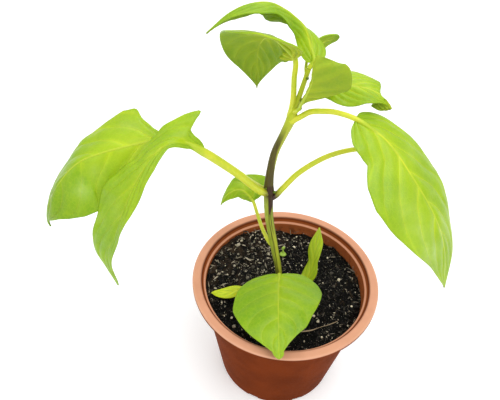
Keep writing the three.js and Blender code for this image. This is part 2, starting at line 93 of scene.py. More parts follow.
# Leaf shapes. "petiole" runs from the stem to the blade, "thick" is its radius at both ends. "rib" is the
# midrib from base to tip, and "face" the way the upper side looks, at equal steps. The next ones come in
# pairs, left half and right half, seen from the base with the upper side up: "half" is the half width,
# "widest" the share of the length where it is reached, "base" and "tip" how it grows and shrinks, "lift" the
# degrees by which the half rises towards the face, "curl" the further bend towards the margin, and "trim" a
# share of the half width at equal steps. "sweep" is the slant of the side veins at base and tip, and "wave"
# the height, the count and the two phases of the margin's waves. "spur" pulls the right margin out to a
# point: where, how broad and how far. "veins" is the number of side veins of a half and how far they run
# forward on the way out, "lines" how clear the midrib and they are. "tone" is the painted light (above 0)
# and painted shade (below 0) along the blade's length. "bloom" is a list of pale patches of painted sheen,
# standing in for reflections of the light: where along, where across (left is positive), how long, how wide
# and how strong. "dusk" is how purple the petiole is at the stem, "dusk_end" where that ends.
LEAVES = {
    "leaf_front": dict(
        petiole=[(-4, -1, 86), (-5, -5, 97), (-5, -9, 103.5)], thick=(1.5, 1.1),
        rib=[(-5, -9, 104), (-5.5, -22, 105), (-5.5, -36, 105), (-5, -49, 102), (-4.5, -58, 98),
             (-4, -63, 95)],
        face=[(-0.1, -0.2, 1), (-0.15, -0.2, 1), (-0.1, -0.5, 1)], half=(27, 29.5), widest=(0.34, 0.5),
        base=(0.6, 0.62), tip=(0.9, 0.9), sweep=(-25, 12), lift=[(0, -2, 0), (0, -2, 0)], curl=(-14, -14),
        trim=[(1, 1, 1, 1, 1, 0.97, 0.91, 0.84, 0.82, 0.65, 0.53, 0.45, 1.1),
              (1, 1, 1, 1, 1, 0.98, 0.96, 0.88, 0.82, 0.74, 0.61, 0.44, 0.75)],
        wave=(1.0, 2.5, 0.1, 0.6), veins=(6, 0.3), lines=(0.35, 0.35), tone=(-0.25, -0.15),
    ),
    "leaf_low_left": dict(
        petiole=[(-8.5, 1, 117), (-12.6, 1.5, 121.5), (-17.2, 8, 126), (-21.3, 17, 131), (-24, 24, 133.5)],
        thick=(1.3, 1.0),
        rib=[(-24, 24, 133.5), (-27.8, 27, 136.6), (-32.6, 29.5, 137.8), (-38.1, 29, 135.9),
             (-42.2, 27.5, 131.8), (-44.6, 26, 127)],
        face=[(-0.2, -0.2, 1), (-0.2, -0.1, 1), (-0.8, 0, 0.6)], half=(5.4, 18), widest=(0.35, 0.2),
        base=(0.5, 1), tip=(0.9, 1), sweep=(-24, 22), lift=[(-45, -45, -30), (28, 10, -5)], curl=(-10, -10),
        trim=[(1, 1, 1, 1, 1, 1), (0.8, 0.62, 1, 0.86, 0.68, 0.66, 0.5, 0.4, 0.5, 0.75, 0.8)],
        wave=(0.4, 2.5, 0.1, 0.6), veins=(5, 0.3), lines=(0.8, 0.5), tone=(-0.1, 0),
    ),
    "leaf_right": dict(
        petiole=[(-8, -1, 215.5), (-4, -2, 219), (0.5, -4, 224), (6, -7, 227), (12, -10, 229),
                 (22, -15, 229)],
        thick=(1.5, 1.3),
        rib=[(22, -15, 229), (36, -19, 222), (50, -29, 209), (65, -38, 190), (73, -42, 173),
             (78, -48, 150)],
        face=[(0.3, -0.3, 0.9), (0.5, -0.4, 0.75), (0.7, -0.4, 0.5)], half=(21, 27), widest=(0.45, 0.5),
        base=(0.5, 0.5), tip=(0.8, 1.1), sweep=(-30, 10), lift=[(-5, -5, 0), (-5, -5, 0)], curl=(-12, -12),
        trim=[(1, 1, 1, 1, 1.05, 1.15, 1, 1, 1.1, 1.2, 1),
              (0.9, 1, 0.93, 0.78, 1, 1.07, 1, 0.93, 0.9, 0.87, 0.85, 0.9, 1)],
        wave=(0.7, 3.5, 0.1, 0.8), veins=(6, 0.42), lines=(1, 0.9), tone=(0.25, 0.2),
        painted_sheen=[(0.7, -0.6, 0.13, 0.3, 0.4), (0.5, -0.5, 0.1, 0.2, 0.25), (0.3, 0.6, 0.05, 0.25, 0.3)],
    ),
    "leaf_right_lower": dict(
        petiole=[(-15, 0, 160.5), (-12, 0, 162.5), (-8.3, 0, 168.5), (0, 0, 181.3), (15, 1, 193.5),
                 (30, 2, 198)],
        thick=(1.7, 1.3), dusk=2, dusk_end=0.17,
        rib=[(30, 2, 198), (40, 2, 196), (50, 0, 187), (58, -4, 175), (64, -8, 161)],
        face=[(0.2, -0.3, 0.9), (0.5, -0.3, 0.8), (0.8, -0.2, 0.5)], half=(14, 14), widest=(0.4, 0.4),
        base=(0.6, 0.6), tip=(1.1, 1.1), sweep=(-20, 15), lift=[(0, 0, 0), (0, 0, 0)], curl=(-10, -10),
        wave=(0.8, 2.5, 0.1, 0.6), veins=(6, 0.3), lines=(0.6, 0.4),
    ),
    "leaf_left": dict(
        petiole=[(-17, -0.5, 165.5), (-20, -3, 168), (-32, -8, 183.3), (-42, -11.7, 194.7),
                 (-50, -14.5, 203)],
        thick=(2.2, 2.3), dusk=1.2, dusk_end=0.1,
        rib=[(-50, -14.5, 203), (-57, -17, 210), (-65, -21, 214), (-72, -26, 211), (-79, -32, 203),
             (-85.5, -38, 190), (-92.5, -43, 171), (-97.5, -46, 156), (-94, -49, 136)],
        face=[(-0.1, -0.6, 0.8), (-0.8, -0.4, 0.5), (-0.8, -0.5, 0.2)], half=(8, 17), widest=(0.4, 0.45),
        base=(0.9, 0.4), tip=(0.8, 0.75), sweep=(15, 12),
        lift=[(0, 0, 10, 0), (10, -30, -5, 30, 32, 25, 10)], curl=(-10, -12),
        trim=[(1, 0.9, 0.4, 0.85, 0.95, 1, 1, 0.85, 1, 1, 1),
              (0.6, 0.55, 1.05, 0.93, 0.85, 0.75, 0.85, 0.9, 0.95, 1, 1, 1, 1, 1, 1, 1, 1)],
        spur=(0.11, 0.018, (10, 5, 5)), wave=(1.0, 3.5, 0.1, 0.6), veins=(6, 0.38), lines=(0.12, 0.4),
        tone=(0.2, 0.3, 0.2, 0, -0.5),
    ),
    "leaf_left_rear": dict(
        petiole=[(-16, 3.8, 163), (-20.3, 3, 165.3), (-32, -3, 179.5), (-43, -7, 191), (-57, -9, 203),
                 (-67, -8, 204)],
        thick=(1.5, 1.3),
        rib=[(-67, -8, 204), (-79, -8, 203.5), (-91, -11, 201), (-103, -15, 199), (-114, -19, 195),
             (-125, -24, 183), (-131, -27, 171), (-133, -28, 161), (-131.3, -30, 158.5)],
        face=[(0, -0.35, 0.9), (-0.15, -0.35, 0.9), (-0.9, -0.4, 0.5)], half=(28, 24), widest=(0.48, 0.2),
        base=(0.9, 1.9), tip=(1.1, 1.1), sweep=(5, 12),
        lift=[(-30, -38, -36, -25, -5), (5, -5, -26, -22, -5)], curl=(-12, -12),
        trim=[(1, 1, 1, 1, 1, 1, 1, 1, 0.98, 0.8, 0.5),
              (1, 0.62, 0.98, 0.97, 0.97, 1, 1, 1.2, 1.4, 1.4, 1)],
        spur=(0.165, 0.018, (1.3, 1.7, 2)), wave=(1.0, 3.5, 0.1, 0.6), veins=(6, 0.3), lines=(0.45, 0.35),
        tone=(0.5, 0.45, 0.25, -1.2, -1.9),
        painted_sheen=[(0.6, 0.45, 0.06, 0.2, 0.35), (0.2, -0.5, 0.06, 0.3, 0.15), (0.45, 0.3, 0.05, 0.2, 0.2)],
    ),
    "leaf_top_rear": dict(
        petiole=[(-8.5, 1, 217), (-8, 0.5, 228), (-8.5, 2, 238), (-9, 4, 248)], thick=(1.55, 1.3),
        rib=[(-9, 4, 248), (-13, 7, 253), (-18, 12, 254), (-23, 20, 250), (-26, 27, 241),
             (-26.5, 33, 227), (-26, 36, 210)],
        face=[(0, 0.62, 0.78), (0, 0.85, 0.5), (0, 1, 0.1)], half=(23, 17), widest=(0.3, 0.36),
        base=(0.5, 0.5), tip=(1.2, 1.2), sweep=(-8, 10), lift=[(0, -2, -6), (-10, -20, -10)],
        curl=(-10, -14), wave=(1.0, 2.5, 0.1, 0.6), veins=(7, 0.3), lines=(0.5, 0.4),
        tone=(1, 0.4, 0.1, 0, 0, 0),
    ),
    "leaf_top_arch": dict(
        petiole=[(-1.7, 4.1, 243.6), (-1, 4.2, 245.2), (0, 4.5, 247)], thick=(1.0, 0.9),
        rib=[(0, 4.5, 247), (-2, 8, 253), (-5, 11, 260), (-10, 12, 265), (-15, 11, 269),
             (-22, 8, 273.5), (-31, 4, 274.5), (-40, 0, 271.5), (-50, -4, 263)],
        face=[(0, -0.8, 0.5), (0, -0.3, 0.95), (-0.3, -0.2, 0.9)], half=(8.3, 9.5), widest=(0.25, 0.13),
        base=(0.4, 0.5), tip=(1.1, 1.0), sweep=(-20, 10),
        lift=[(0, 0, -10, -15, 0), (0, -80, -85, -80, -70)], curl=(-10, -10),
        trim=[(1, 0.9, 0.8, 0.72, 0.7, 0.8, 1, 1, 1, 1, 1),
              (1, 1, 1, 1.45, 1.38, 1.15, 1.05, 1.45, 1.6, 1.2, 1)],
        wave=(0.6, 2.5, 0.1, 0.6), veins=(7, 0.4), lines=(0.8, 0.3), tone=(0.3, -0.7),
    ),
    "leaf_top_front": dict(
        petiole=[(-7, 0.5, 221), (-6.3, -2.3, 222.5), (-5, -4.2, 225.5)], thick=(1.1, 0.9),
        rib=[(-5, -4.2, 225.5), (-3.5, -7.5, 233), (-2, -11.5, 241.5), (-1.2, -14, 249),
             (-1.3, -14, 255.5), (-0.3, -12, 259.5)],
        face=[(0.3, 0.9, -0.2), (0.3, 0.9, 0), (0.3, 0.9, 0.3)], half=(18, 11), widest=(0.62, 0.5),
        base=(3.2, 0.9), tip=(0.5, 0.8), sweep=(35, 12), lift=[(5, 5, 5), (85, 85, 85)], curl=(8, 8),
        wave=(0.5, 2.5, 0.1, 0.6), veins=(6, 0.12), lines=(0.35, 0.35), tone=(0.6, 0.4, 0.3),
    ),
    "leaf_top_right": dict(
        petiole=[(-6.5, 1, 222), (-3, 3, 226), (1, 3, 230), (4, 2, 233)], thick=(1.0, 0.9),
        rib=[(4, 2, 233), (11, 2, 237), (19, 0, 238), (28, -2.2, 238), (34.7, -4, 235), (38.5, -6, 230.5)],
        face=[(-0.2, -0.3, 0.9), (0.1, -0.3, 0.9), (0.4, -0.3, 0.9)], half=(12, 11), widest=(0.5, 0.4),
        base=(0.6, 0.6), tip=(0.3, 1.2), sweep=(-20, 10),
        lift=[(0, -3, -5, -8, -12, -12, -12, -95, -110), (0, -5, -5, -5, -5)], curl=(-14, -14),
        wave=(0.6, 2.5, 0.1, 0.6), veins=(5, 0.7), lines=(0.9, 1), tone=(0.35, 0.2),
    ),
    "leaf_top_bud": dict(
        petiole=[(-2.6, 3.5, 239), (-3, 9, 241), (-1.5, 16, 244)], thick=(0.8, 0.7),
        rib=[(-1.5, 16, 244), (3, 20, 247.5), (7.5, 23, 248.5), (12.5, 26, 248)],
        face=[(0, 1, 0.1), (0, 1, 0.1), (0, 1, 0.2)], half=(3.8, 3.6), widest=(0.4, 0.7), base=(0.5, 0.6),
        tip=(0.5, 0.35), sweep=(-10, 10), lift=[(0, 0, 0), (0, 0, 0)], curl=(-10, -10),
        wave=(0.2, 1.5, 0.1, 0.6), veins=(5, 0.4), lines=(0.3, 0.2),
    ),
    "cotyledon_right": dict(
        petiole=[(-2, 2, 81), (3, 2, 82), (10, 2, 82)], thick=(0.9, 0.8),
        rib=[(10, 2, 82), (14, 4, 86), (17, 9, 92), (18, 15, 98), (19, 22, 102), (21, 31, 106)],
        face=[(-0.6, -0.4, 0.6), (-0.7, -0.4, 0.5), (-0.8, -0.3, 0.5)], half=(7, 7), widest=(0.5, 0.5),
        base=(0.5, 0.5), tip=(0.9, 0.9), sweep=(-10, 10), lift=[(0, 0, 0), (0, 0, 0)], curl=(-10, -10),
        trim=[(1, 1, 0.9, 0.7, 0.9, 1, 1, 1), (1, 1, 0.9, 0.55, 0.75, 1, 1, 1)], wave=(0.6, 1.5, 0.1, 0.6),
        veins=(4, 0.4), lines=(0.3, 0.1), tone=(0.8, 0.8),
    ),
    "cotyledon_left": dict(
        petiole=[(-6, 0, 80), (-12, -2, 81), (-20, -6, 82)], thick=(0.9, 0.8),
        rib=[(-20, -6, 82), (-30, -9, 85), (-39, -12, 85.5), (-47, -12, 85)],
        face=[(0, -0.2, 1), (0, -0.2, 1), (-0.1, -0.2, 1)], half=(4, 4), widest=(0.55, 0.55),
        base=(0.7, 0.7), tip=(0.7, 0.7), sweep=(0, 8), lift=[(0, 0, 0), (0, 0, 0)], curl=(-10, -10),
        wave=(0.2, 1.5, 0.1, 0.6), veins=(4, 0.4), lines=(0.3, 0.1), tone=(2.6, 2.4),
    ),
}


# ---------------------------------------------------------------- sizes and colours that a user may change
class PotSettings(bpy.types.PropertyGroup):
    """The plastic nursery pot."""

    height: FloatProperty(
        name="Height", description="From the base to the rim", default=POT_TOP, unit="LENGTH"
    )
    rim_radius: FloatProperty(
        name="Rim Radius", description="Outside of the flange", default=RIM_RADIUS, unit="LENGTH"
    )
    wall: FloatProperty(
        name="Wall", description="Thickness of the wall and the base", default=0.0012, unit="LENGTH"
    )
    sides: IntProperty(name="Sides", description="Steps around the pot", default=144, min=24)
    plastic: FloatVectorProperty(
        name="Plastic", description="Colour of the wall", default=(0.185, 0.034, 0.006), subtype="COLOR"
    )
    # The flange's pale colour is partly painted light on its top face and partly a paler worn flange.
    rim: FloatVectorProperty(
        name="Rim", description="Paler colour of the flange", default=(0.76, 0.375, 0.235), subtype="COLOR"
    )


class SoilSettings(bpy.types.PropertyGroup):
    """The potting soil and what lies on it."""

    level: FloatProperty(
        name="Level", description="Height of the soil around the stem", default=0.0775, unit="LENGTH"
    )
    crumbs: IntProperty(name="Crumbs", description="Loose lumps of peat", default=1500, min=0)
    fibres: IntProperty(name="Fibres", description="Loose plant fibres", default=520, min=0)
    peat: FloatVectorProperty(
        name="Peat", description="Colour of wet peat", default=(0.004, 0.004, 0.0035), subtype="COLOR"
    )
    bark: FloatVectorProperty(
        name="Bark", description="Colour of dry bark", default=(0.09, 0.055, 0.03), subtype="COLOR"
    )


class FoliageSettings(bpy.types.PropertyGroup):
    """The leaves, their petioles and the stem."""

    thickness: FloatProperty(name="Blade", description="Thickness of a blade", default=0.0007, unit="LENGTH")
    quilting: FloatProperty(
        name="Quilting", description="How far a blade bulges between its veins", default=0.0009, unit="LENGTH"
    )
    upper: FloatVectorProperty(
        name="Upper Side", description="Upper side's colour", default=(0.34, 0.53, 0.009), subtype="COLOR"
    )
    under: FloatVectorProperty(
        name="Underside", description="Colour of the underside", default=(0.3, 0.44, 0.022), subtype="COLOR"
    )
    vein: FloatVectorProperty(
        name="Veins", description="Colour of veins and petioles", default=(0.62, 0.72, 0.03), subtype="COLOR"
    )
    purple: FloatVectorProperty(
        name="Purple", description="The stem's dark stripes", default=(0.05, 0.02, 0.012), subtype="COLOR"
    )


class StageSettings(bpy.types.PropertyGroup):
    """Floor, light and camera."""

    floor: FloatVectorProperty(
        name="Floor", description="Colour of the floor", default=(0.97, 0.97, 0.97), subtype="COLOR"
    )
    light: FloatProperty(name="Light", description="Strength of the large lamps", default=1.0)
    sky: FloatProperty(name="Sky", description="Strength of the light all round", default=0.55)
    lens: FloatProperty(name="Lens", description="Focal length in millimetres", default=43.2)


GROUPS = {
    "seedling_pot": PotSettings,
    "seedling_soil": SoilSettings,
    "seedling_foliage": FoliageSettings,
    "seedling_stage": StageSettings,
}


# ---------------------------------------------------------------- hand tools
def begin():
    """Object mode with nothing selected."""
    if bpy.context.object and bpy.context.object.mode != "OBJECT":
        bpy.ops.object.mode_set(mode="OBJECT")
    bpy.ops.object.select_all(action="DESELECT")


def only(obj):
    """Object mode with one object selected and active."""
    begin()
    obj.select_set(True)
    bpy.context.view_layer.objects.active = obj


def finish_piece(obj, name, nodes=(), materials=()):
    """Gives a finished mesh its name and materials, hangs it on its body and hides the frame's parts that it
    replaces, with its place in its mesh.
    """
    only(obj)
    bpy.ops.object.transform_apply(location=True, rotation=True, scale=True)
    obj.name = name
    obj.data.name = name
    if materials:
        obj.data.materials.clear()
        for material in materials:
            obj.data.materials.append(material)
    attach(obj, BODY)
    if nodes:
        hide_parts(*nodes)
    return obj


def apply_modifiers(obj):
    only(obj)
    for modifier in list(obj.modifiers):
        bpy.ops.object.modifier_apply(modifier=modifier.name)


def positions(mesh):
    flat = np.empty(len(mesh.vertices) * 3)
    mesh.vertices.foreach_get("co", flat)
    return flat.reshape(-1, 3)


def move_vertices(mesh, points):
    mesh.vertices.foreach_set("co", np.ascontiguousarray(points, float).ravel())
    mesh.update()


def write_attribute(mesh, name, values):
    """A number or a vector for each vertex, which a material reads by name."""
    values = np.asarray(values, np.float32)
    kind, key = ("FLOAT", "value") if values.ndim == 1 else ("FLOAT_VECTOR", "vector")
    attribute = mesh.attributes.get(name) or mesh.attributes.new(name, kind, "POINT")
    attribute.data.foreach_set(key, values.ravel())


def write_even(mesh, name, value):
    """The same number for every vertex."""
    write_attribute(mesh, name, np.full(len(mesh.vertices), value))


def read_attribute(mesh, name):
    """The values that write_attribute stored under a name."""
    attribute = mesh.attributes[name]
    key, size = ("value", 1) if attribute.data_type == "FLOAT" else ("vector", 3)
    values = np.empty(len(mesh.vertices) * size, np.float32)
    attribute.data.foreach_get(key, values)
    values = values.astype(float)
    return values if size == 1 else values.reshape(-1, size)


def write_map(mesh, name, first, second):
    """A UV map that holds two numbers for each corner of a face."""
    layer = mesh.uv_layers.new(name=name)
    layer.data.foreach_set("uv", np.stack([first, second], axis=1).astype(np.float32).ravel())


def drop_maps(mesh):
    """Removes the UV maps that a primitive or a curve brings along."""
    for layer in list(mesh.uv_layers):
        mesh.uv_layers.remove(layer)


def unit(vectors):
    return vectors / np.maximum(np.linalg.norm(vectors, axis=-1, keepdims=True), 1e-12)


def smoothstep(low, high, value):
    share = np.clip((value - low) / (high - low), 0, 1)
    return share * share * (3 - 2 * share)


def along(values, shares):
    """Values given at equal steps, read at shares of the way."""
    values = np.asarray(values, float)
    steps = np.linspace(0, 1, len(values))
    if values.ndim == 1:
        return np.interp(shares, steps, values)
    return np.stack([np.interp(shares, steps, values[:, axis]) for axis in range(values.shape[1])], axis=-1)


def smoothed(values, reach=6):
    """Each value averaged with its neighbours on both sides."""
    window = 2 * reach + 1
    return np.convolve(np.pad(values, reach, mode="edge"), np.ones(window) / window, mode="valid")


class HandCurve:
    """A smooth curve through given points, read by share of its length."""

    FINE = 1200

    def __init__(self, points):
        given = np.array(points, float)
        padded = np.vstack([2 * given[0] - given[1], given, 2 * given[-1] - given[-2]])
        place = np.linspace(0, len(given) - 1, self.FINE + 1)
        first = np.minimum(place.astype(int), len(given) - 2)
        weight = (place - first)[:, None]
        x0, x1, x2, x3 = (padded[first + k] for k in range(4))
        d0, d1, d2 = (
            np.sum((b - a) ** 2, axis=1, keepdims=True) ** 0.25 for a, b in ((x0, x1), (x1, x2), (x2, x3))
        )
        leave = ((x1 - x0) / d0 - (x2 - x0) / (d0 + d1) + (x2 - x1) / d1) * d1
        arrive = ((x2 - x1) / d1 - (x3 - x1) / (d1 + d2) + (x3 - x2) / d2) * d1
        self.points = (
            x1
            + leave * weight
            + (3 * x2 - 3 * x1 - 2 * leave - arrive) * weight**2
            + (2 * x1 - 2 * x2 + leave + arrive) * weight**3
        )
        reached = np.cumsum(np.linalg.norm(np.diff(self.points, axis=0), axis=1))
        self.length = reached[-1]
        self.reached = np.concatenate([[0], reached]) / self.length

    def at(self, shares):
        return np.stack([np.interp(shares, self.reached, self.points[:, axis]) for axis in range(3)], axis=-1)

    def tangent(self, shares):
        near = 2e-3
        return unit(self.at(np.minimum(shares + near, 1)) - self.at(np.maximum(shares - near, 0)))


def tube(name, points, radii, sides_level=4):
    """A round tube through points in millimetres, with its own radius at each, made from a curve."""
    begin()
    bpy.ops.curve.primitive_bezier_curve_add(location=(0, 0, 0))
    curve = bpy.context.object
    curve.data.splines.clear()
    spline = curve.data.splines.new("POLY")
    spline.points.add(len(points) - 1)
    for point, place, radius in zip(spline.points, points, radii):
        point.co = (*(Vector(place) * MM), 1)
        point.radius = radius
    curve.data.dimensions = "3D"
    curve.data.bevel_depth = MM
    curve.data.bevel_resolution = sides_level
    curve.data.use_fill_caps = True
    only(curve)
    bpy.ops.object.convert(target="MESH")
    made = bpy.context.object
    made.name = name
    mesh = made.data
    drop_maps(mesh)
    count = len(mesh.vertices) // len(points)
    ring = np.arange(len(mesh.vertices)) // count
    share = ring / (len(points) - 1)
    centres = np.asarray(points, float)[np.minimum(ring, len(points) - 1)] * MM
    write_attribute(mesh, "run", share)
    write_attribute(mesh, "outward", unit(positions(mesh) - centres))
    bpy.ops.object.shade_smooth()
    return made


def join(pieces):
    """Several objects made into one, the first."""
    begin()
    for piece in pieces:
        piece.select_set(True)
    bpy.context.view_layer.objects.active = pieces[0]
    bpy.ops.object.join()
    return bpy.context.object


# ---------------------------------------------------------------- material wiring
def tint(colour, *factors):
    """A colour with its red, green and blue multiplied by three factors, or all by one."""
    return tuple(part * factor for part, factor in zip(colour, factors * (3 // len(factors))))


class Finish:
    """Short hand for wiring the nodes of one material."""

    def __init__(self, name, **shader):
        self.material = bpy.data.materials.new(name)
        self.material.use_nodes = True
        self.tree = self.material.node_tree
        self.tree.nodes.clear()
        self.shader = self.node("ShaderNodeBsdfPrincipled", **shader)
        output = self.node("ShaderNodeOutputMaterial")
        self.tree.links.new(self.shader.outputs["BSDF"], output.inputs["Surface"])
        self.place = self.node("ShaderNodeTexCoord").outputs["Object"]

    def node(self, kind, settings=None, **inputs):
        """A new node with its settings, and its inputs by name."""
        made = self.tree.nodes.new(kind)
        for key, value in (settings or {}).items():
            setattr(made, key, value)
        for key, value in inputs.items():
            self.feed(made.inputs[key.replace("_", " ")], value)
        return made

    def feed(self, socket, value):
        """Links an input to another node's output, or gives it a value."""
        if isinstance(value, bpy.types.NodeSocket):
            self.tree.links.new(value, socket)
        elif socket.type == "RGBA":
            socket.default_value = (*value[:3], 1)
        else:
            socket.default_value = value

    def math(self, operation, *values, clamp=False):
        made = self.node("ShaderNodeMath", {"operation": operation, "use_clamp": clamp})
        for socket, value in zip(made.inputs, values):
            self.feed(socket, value)
        return made.outputs[0]

    def times(self, first, second, clamp=False):
        return self.math("MULTIPLY", first, second, clamp=clamp)

    def between(self, value, low, high, to_low=0.0, to_high=1.0):
        """Value from low to high turned smoothly into to_low to to_high."""
        made = self.node("ShaderNodeMapRange", {"interpolation_type": "SMOOTHSTEP"})
        for socket, given in zip(made.inputs, (value, low, high, to_low, to_high)):
            self.feed(socket, given)
        return made.outputs[0]

    def mix(self, share, first, second):
        """The first colour turned into the second by a share."""
        made = self.node("ShaderNodeMix", {"data_type": "RGBA"})
        self.feed(made.inputs["Factor"], share)
        self.feed(made.inputs[6], first)
        self.feed(made.inputs[7], second)
        return made.outputs[2]

    def grain(self, scale, detail=3.0, roughness=0.55, stretch=None, distortion=0.0):
        """Noise on the piece's own coordinates. Scale is in waves per metre."""
        place = self.place
        if stretch:
            place = self.node("ShaderNodeMapping", Vector=place, Scale=stretch).outputs[0]
        look = dict(Scale=scale, Detail=detail, Roughness=roughness, Distortion=distortion)
        return self.node("ShaderNodeTexNoise", Vector=place, **look).outputs["Fac"]

    def cells(self, scale):
        """Distance from the borders of small irregular cells."""
        settings = {"feature": "DISTANCE_TO_EDGE"}
        return self.node("ShaderNodeTexVoronoi", settings, Vector=self.place, Scale=scale).outputs["Distance"]

    def attribute(self, name):
        return self.node("ShaderNodeAttribute", {"attribute_name": name}).outputs["Fac"]

    def split(self, vector):
        return self.node("ShaderNodeSeparateXYZ", Vector=vector).outputs

    def map(self, name):
        return self.split(self.node("ShaderNodeUVMap", {"uv_map": name}).outputs[0])

    def bump(self, height, distance, strength=1.0, below=None):
        """Small relief by a height, over the relief below it."""
        made = self.node("ShaderNodeBump", Height=height, Distance=distance, Strength=strength)
        if below:
            self.feed(made.inputs["Normal"], below)
        return made.outputs[0]

    def set(self, **inputs):
        """Fills in the skin's own inputs and hands over the finished material."""
        for key, value in inputs.items():
            self.feed(self.shader.inputs[key.replace("_", " ")], value)
        return self.material


WORN_AND_HIGHLIT_EDGE = (0.85, 0.5, 0.33)
SOIL_DUST = (0.05, 0.03, 0.02)
DRIED_SMEAR = (0.5, 0.36, 0.27)
PALE_SPECK_AND_GLINT = (0.5, 0.47, 0.38)


def pot_finish(settings):
    """Terracotta-coloured plastic: a flange painted pale on top, partly painted light and partly wear, a
    painted highlight along its outer edge, painted shadow and painted light at the inner ledge, fine grain,
    scuffs and dust on the inner wall.
    """
    finish = Finish("terracotta_plastic", Specular_IOR_Level=0.03, IOR=1.2)
    x, y, z = finish.split(finish.place)[:3]
    radius = finish.math("SQRT", finish.math("ADD", finish.times(x, x), finish.times(y, y)))
    mottle = finish.grain(38, 4, 0.6)
    fine = finish.grain(900, 2, 0.5)
    streak = finish.grain(120, 3, 0.6, stretch=(1, 1, 0.05))
    height, rim, ledge = settings.height, settings.rim_radius, settings.height - LEDGE_DROP * MM

    wall = finish.mix(finish.between(mottle, 0.35, 0.7), settings.plastic, tint(settings.plastic, 0.72))
    wall = finish.mix(finish.between(streak, 0.55, 0.75, 0, 0.25), wall, tint(settings.plastic, 1.35))
    middle = finish.math("MULTIPLY_ADD", z, WALL_LEAN, FOOT_RADIUS * MM - settings.wall / 2)
    hollow = finish.between(finish.math("SUBTRACT", radius, middle), 0.3 * MM, -0.3 * MM)
    wall = finish.mix(hollow, wall, tint(settings.plastic, 2.7, 4.0, 7.0))
    # Painted shadow: a darker band on the inner wall, just under the rim and above the ledge.
    shade = finish.times(hollow, finish.between(z, ledge + 0.6 * MM, ledge + 1.0 * MM, 0, 0.5))
    wall = finish.mix(shade, wall, settings.plastic)
    # Painted light: the ledge's upper face in the flange's pale colour.
    above = finish.between(z, ledge - 0.6 * MM, ledge - 0.2 * MM)
    step = finish.times(above, finish.between(z, ledge + 0.8 * MM, ledge + 0.4 * MM))
    wall = finish.mix(finish.times(finish.times(step, hollow), 0.8), wall, settings.rim)

    # The flange's top is painted pale: partly painted light on its top face, partly a paler worn flange.
    top = finish.between(z, height - 1.6 * MM, height - 0.4 * MM)
    outer = finish.between(radius, rim - 6.5 * MM, rim - 4.5 * MM)
    # A painted highlight along the flange's outer edge, partly wear.
    edge = finish.between(radius, rim - 1.6 * MM, rim - 0.3 * MM, 0, 0.35)
    flange = finish.mix(finish.between(mottle, 0.35, 0.65, 0, 0.12), settings.rim, settings.plastic)
    flange = finish.mix(edge, flange, WORN_AND_HIGHLIT_EDGE)
    colour = finish.mix(finish.times(top, outer), wall, flange)

    dust = finish.between(finish.grain(260, 5, 0.65), 0.52, 0.68)
    dust = finish.times(dust, finish.between(z, 88 * MM, 76 * MM, 0, 0.7))
    colour = finish.mix(finish.times(dust, hollow), colour, SOIL_DUST)
    smear = finish.between(finish.grain(420, 5, 0.7, stretch=(1, 1, 0.5)), 0.58, 0.68)
    smear = finish.times(smear, finish.between(z, 86.5 * MM, 78 * MM, 0, 0.6))
    colour = finish.mix(finish.times(smear, hollow), colour, DRIED_SMEAR)
    rough = finish.between(fine, 0.3, 0.7, 0.45, 0.6)
    normal = finish.bump(fine, 0.00004, 0.5)
    normal = finish.bump(mottle, 0.0002, 0.35, normal)
    return finish.set(Base_Color=colour, Roughness=rough, Normal=normal)


def soil_finish(settings):
    """Wet black peat, browner at the back left, with pale fibres, and pale specks that are partly grains and
    partly painted glints of the wet peat.
    """
    finish = Finish("wet_peat", Specular_IOR_Level=0.06)
    x, y = finish.split(finish.place)[:2]
    coarse = finish.grain(160, 6, 0.7, distortion=0.4)
    fine = finish.grain(900, 4, 0.7)
    fibre = finish.grain(420, 5, 0.7, stretch=(1, 0.25, 1), distortion=1.2)
    colour = finish.mix(finish.between(coarse, 0.5, 0.72), settings.peat, tint(settings.peat, 2.5))
    corner = finish.between(finish.math("SUBTRACT", y, x), 20 * MM, 65 * MM)
    brown = finish.times(corner, finish.between(coarse, 0.45, 0.6, 0, 0.4))
    colour = finish.mix(brown, colour, settings.bark)
    pale = finish.between(fibre, 0.58, 0.68, 0, 0.5)
    colour = finish.mix(pale, colour, tint(settings.bark, 1.3))
    # Pale specks, partly real grains and partly painted glints of the wet peat.
    speck_and_glint = finish.between(finish.grain(1300, 2, 0.6), 0.66, 0.72, 0, 0.8)
    colour = finish.mix(speck_and_glint, colour, PALE_SPECK_AND_GLINT)
    rough = finish.between(fine, 0.35, 0.7, 0.35, 0.9)
    normal = finish.bump(fine, 0.0006, 0.9)
    normal = finish.bump(coarse, 0.0015, 0.8, normal)
    return finish.set(Base_Color=colour, Roughness=rough, Normal=normal)


def litter_finish(name, dark, light, roughness):
    """A loose piece's finish. Each piece has its own shade between dark and light."""
    finish = Finish(name, Specular_IOR_Level=0.3)
    speckle = finish.grain(1800, 3, 0.6)
    shade = finish.math("SUBTRACT", finish.attribute("shade"), 0.17)
    colour = finish.mix(finish.math("MULTIPLY_ADD", speckle, 0.35, shade, clamp=True), dark, light)
    rough = finish.between(speckle, 0.3, 0.7, roughness - 0.12, roughness + 0.12)
    return finish.set(Base_Color=colour, Roughness=rough, Normal=finish.bump(speckle, 0.0003, 0.7))


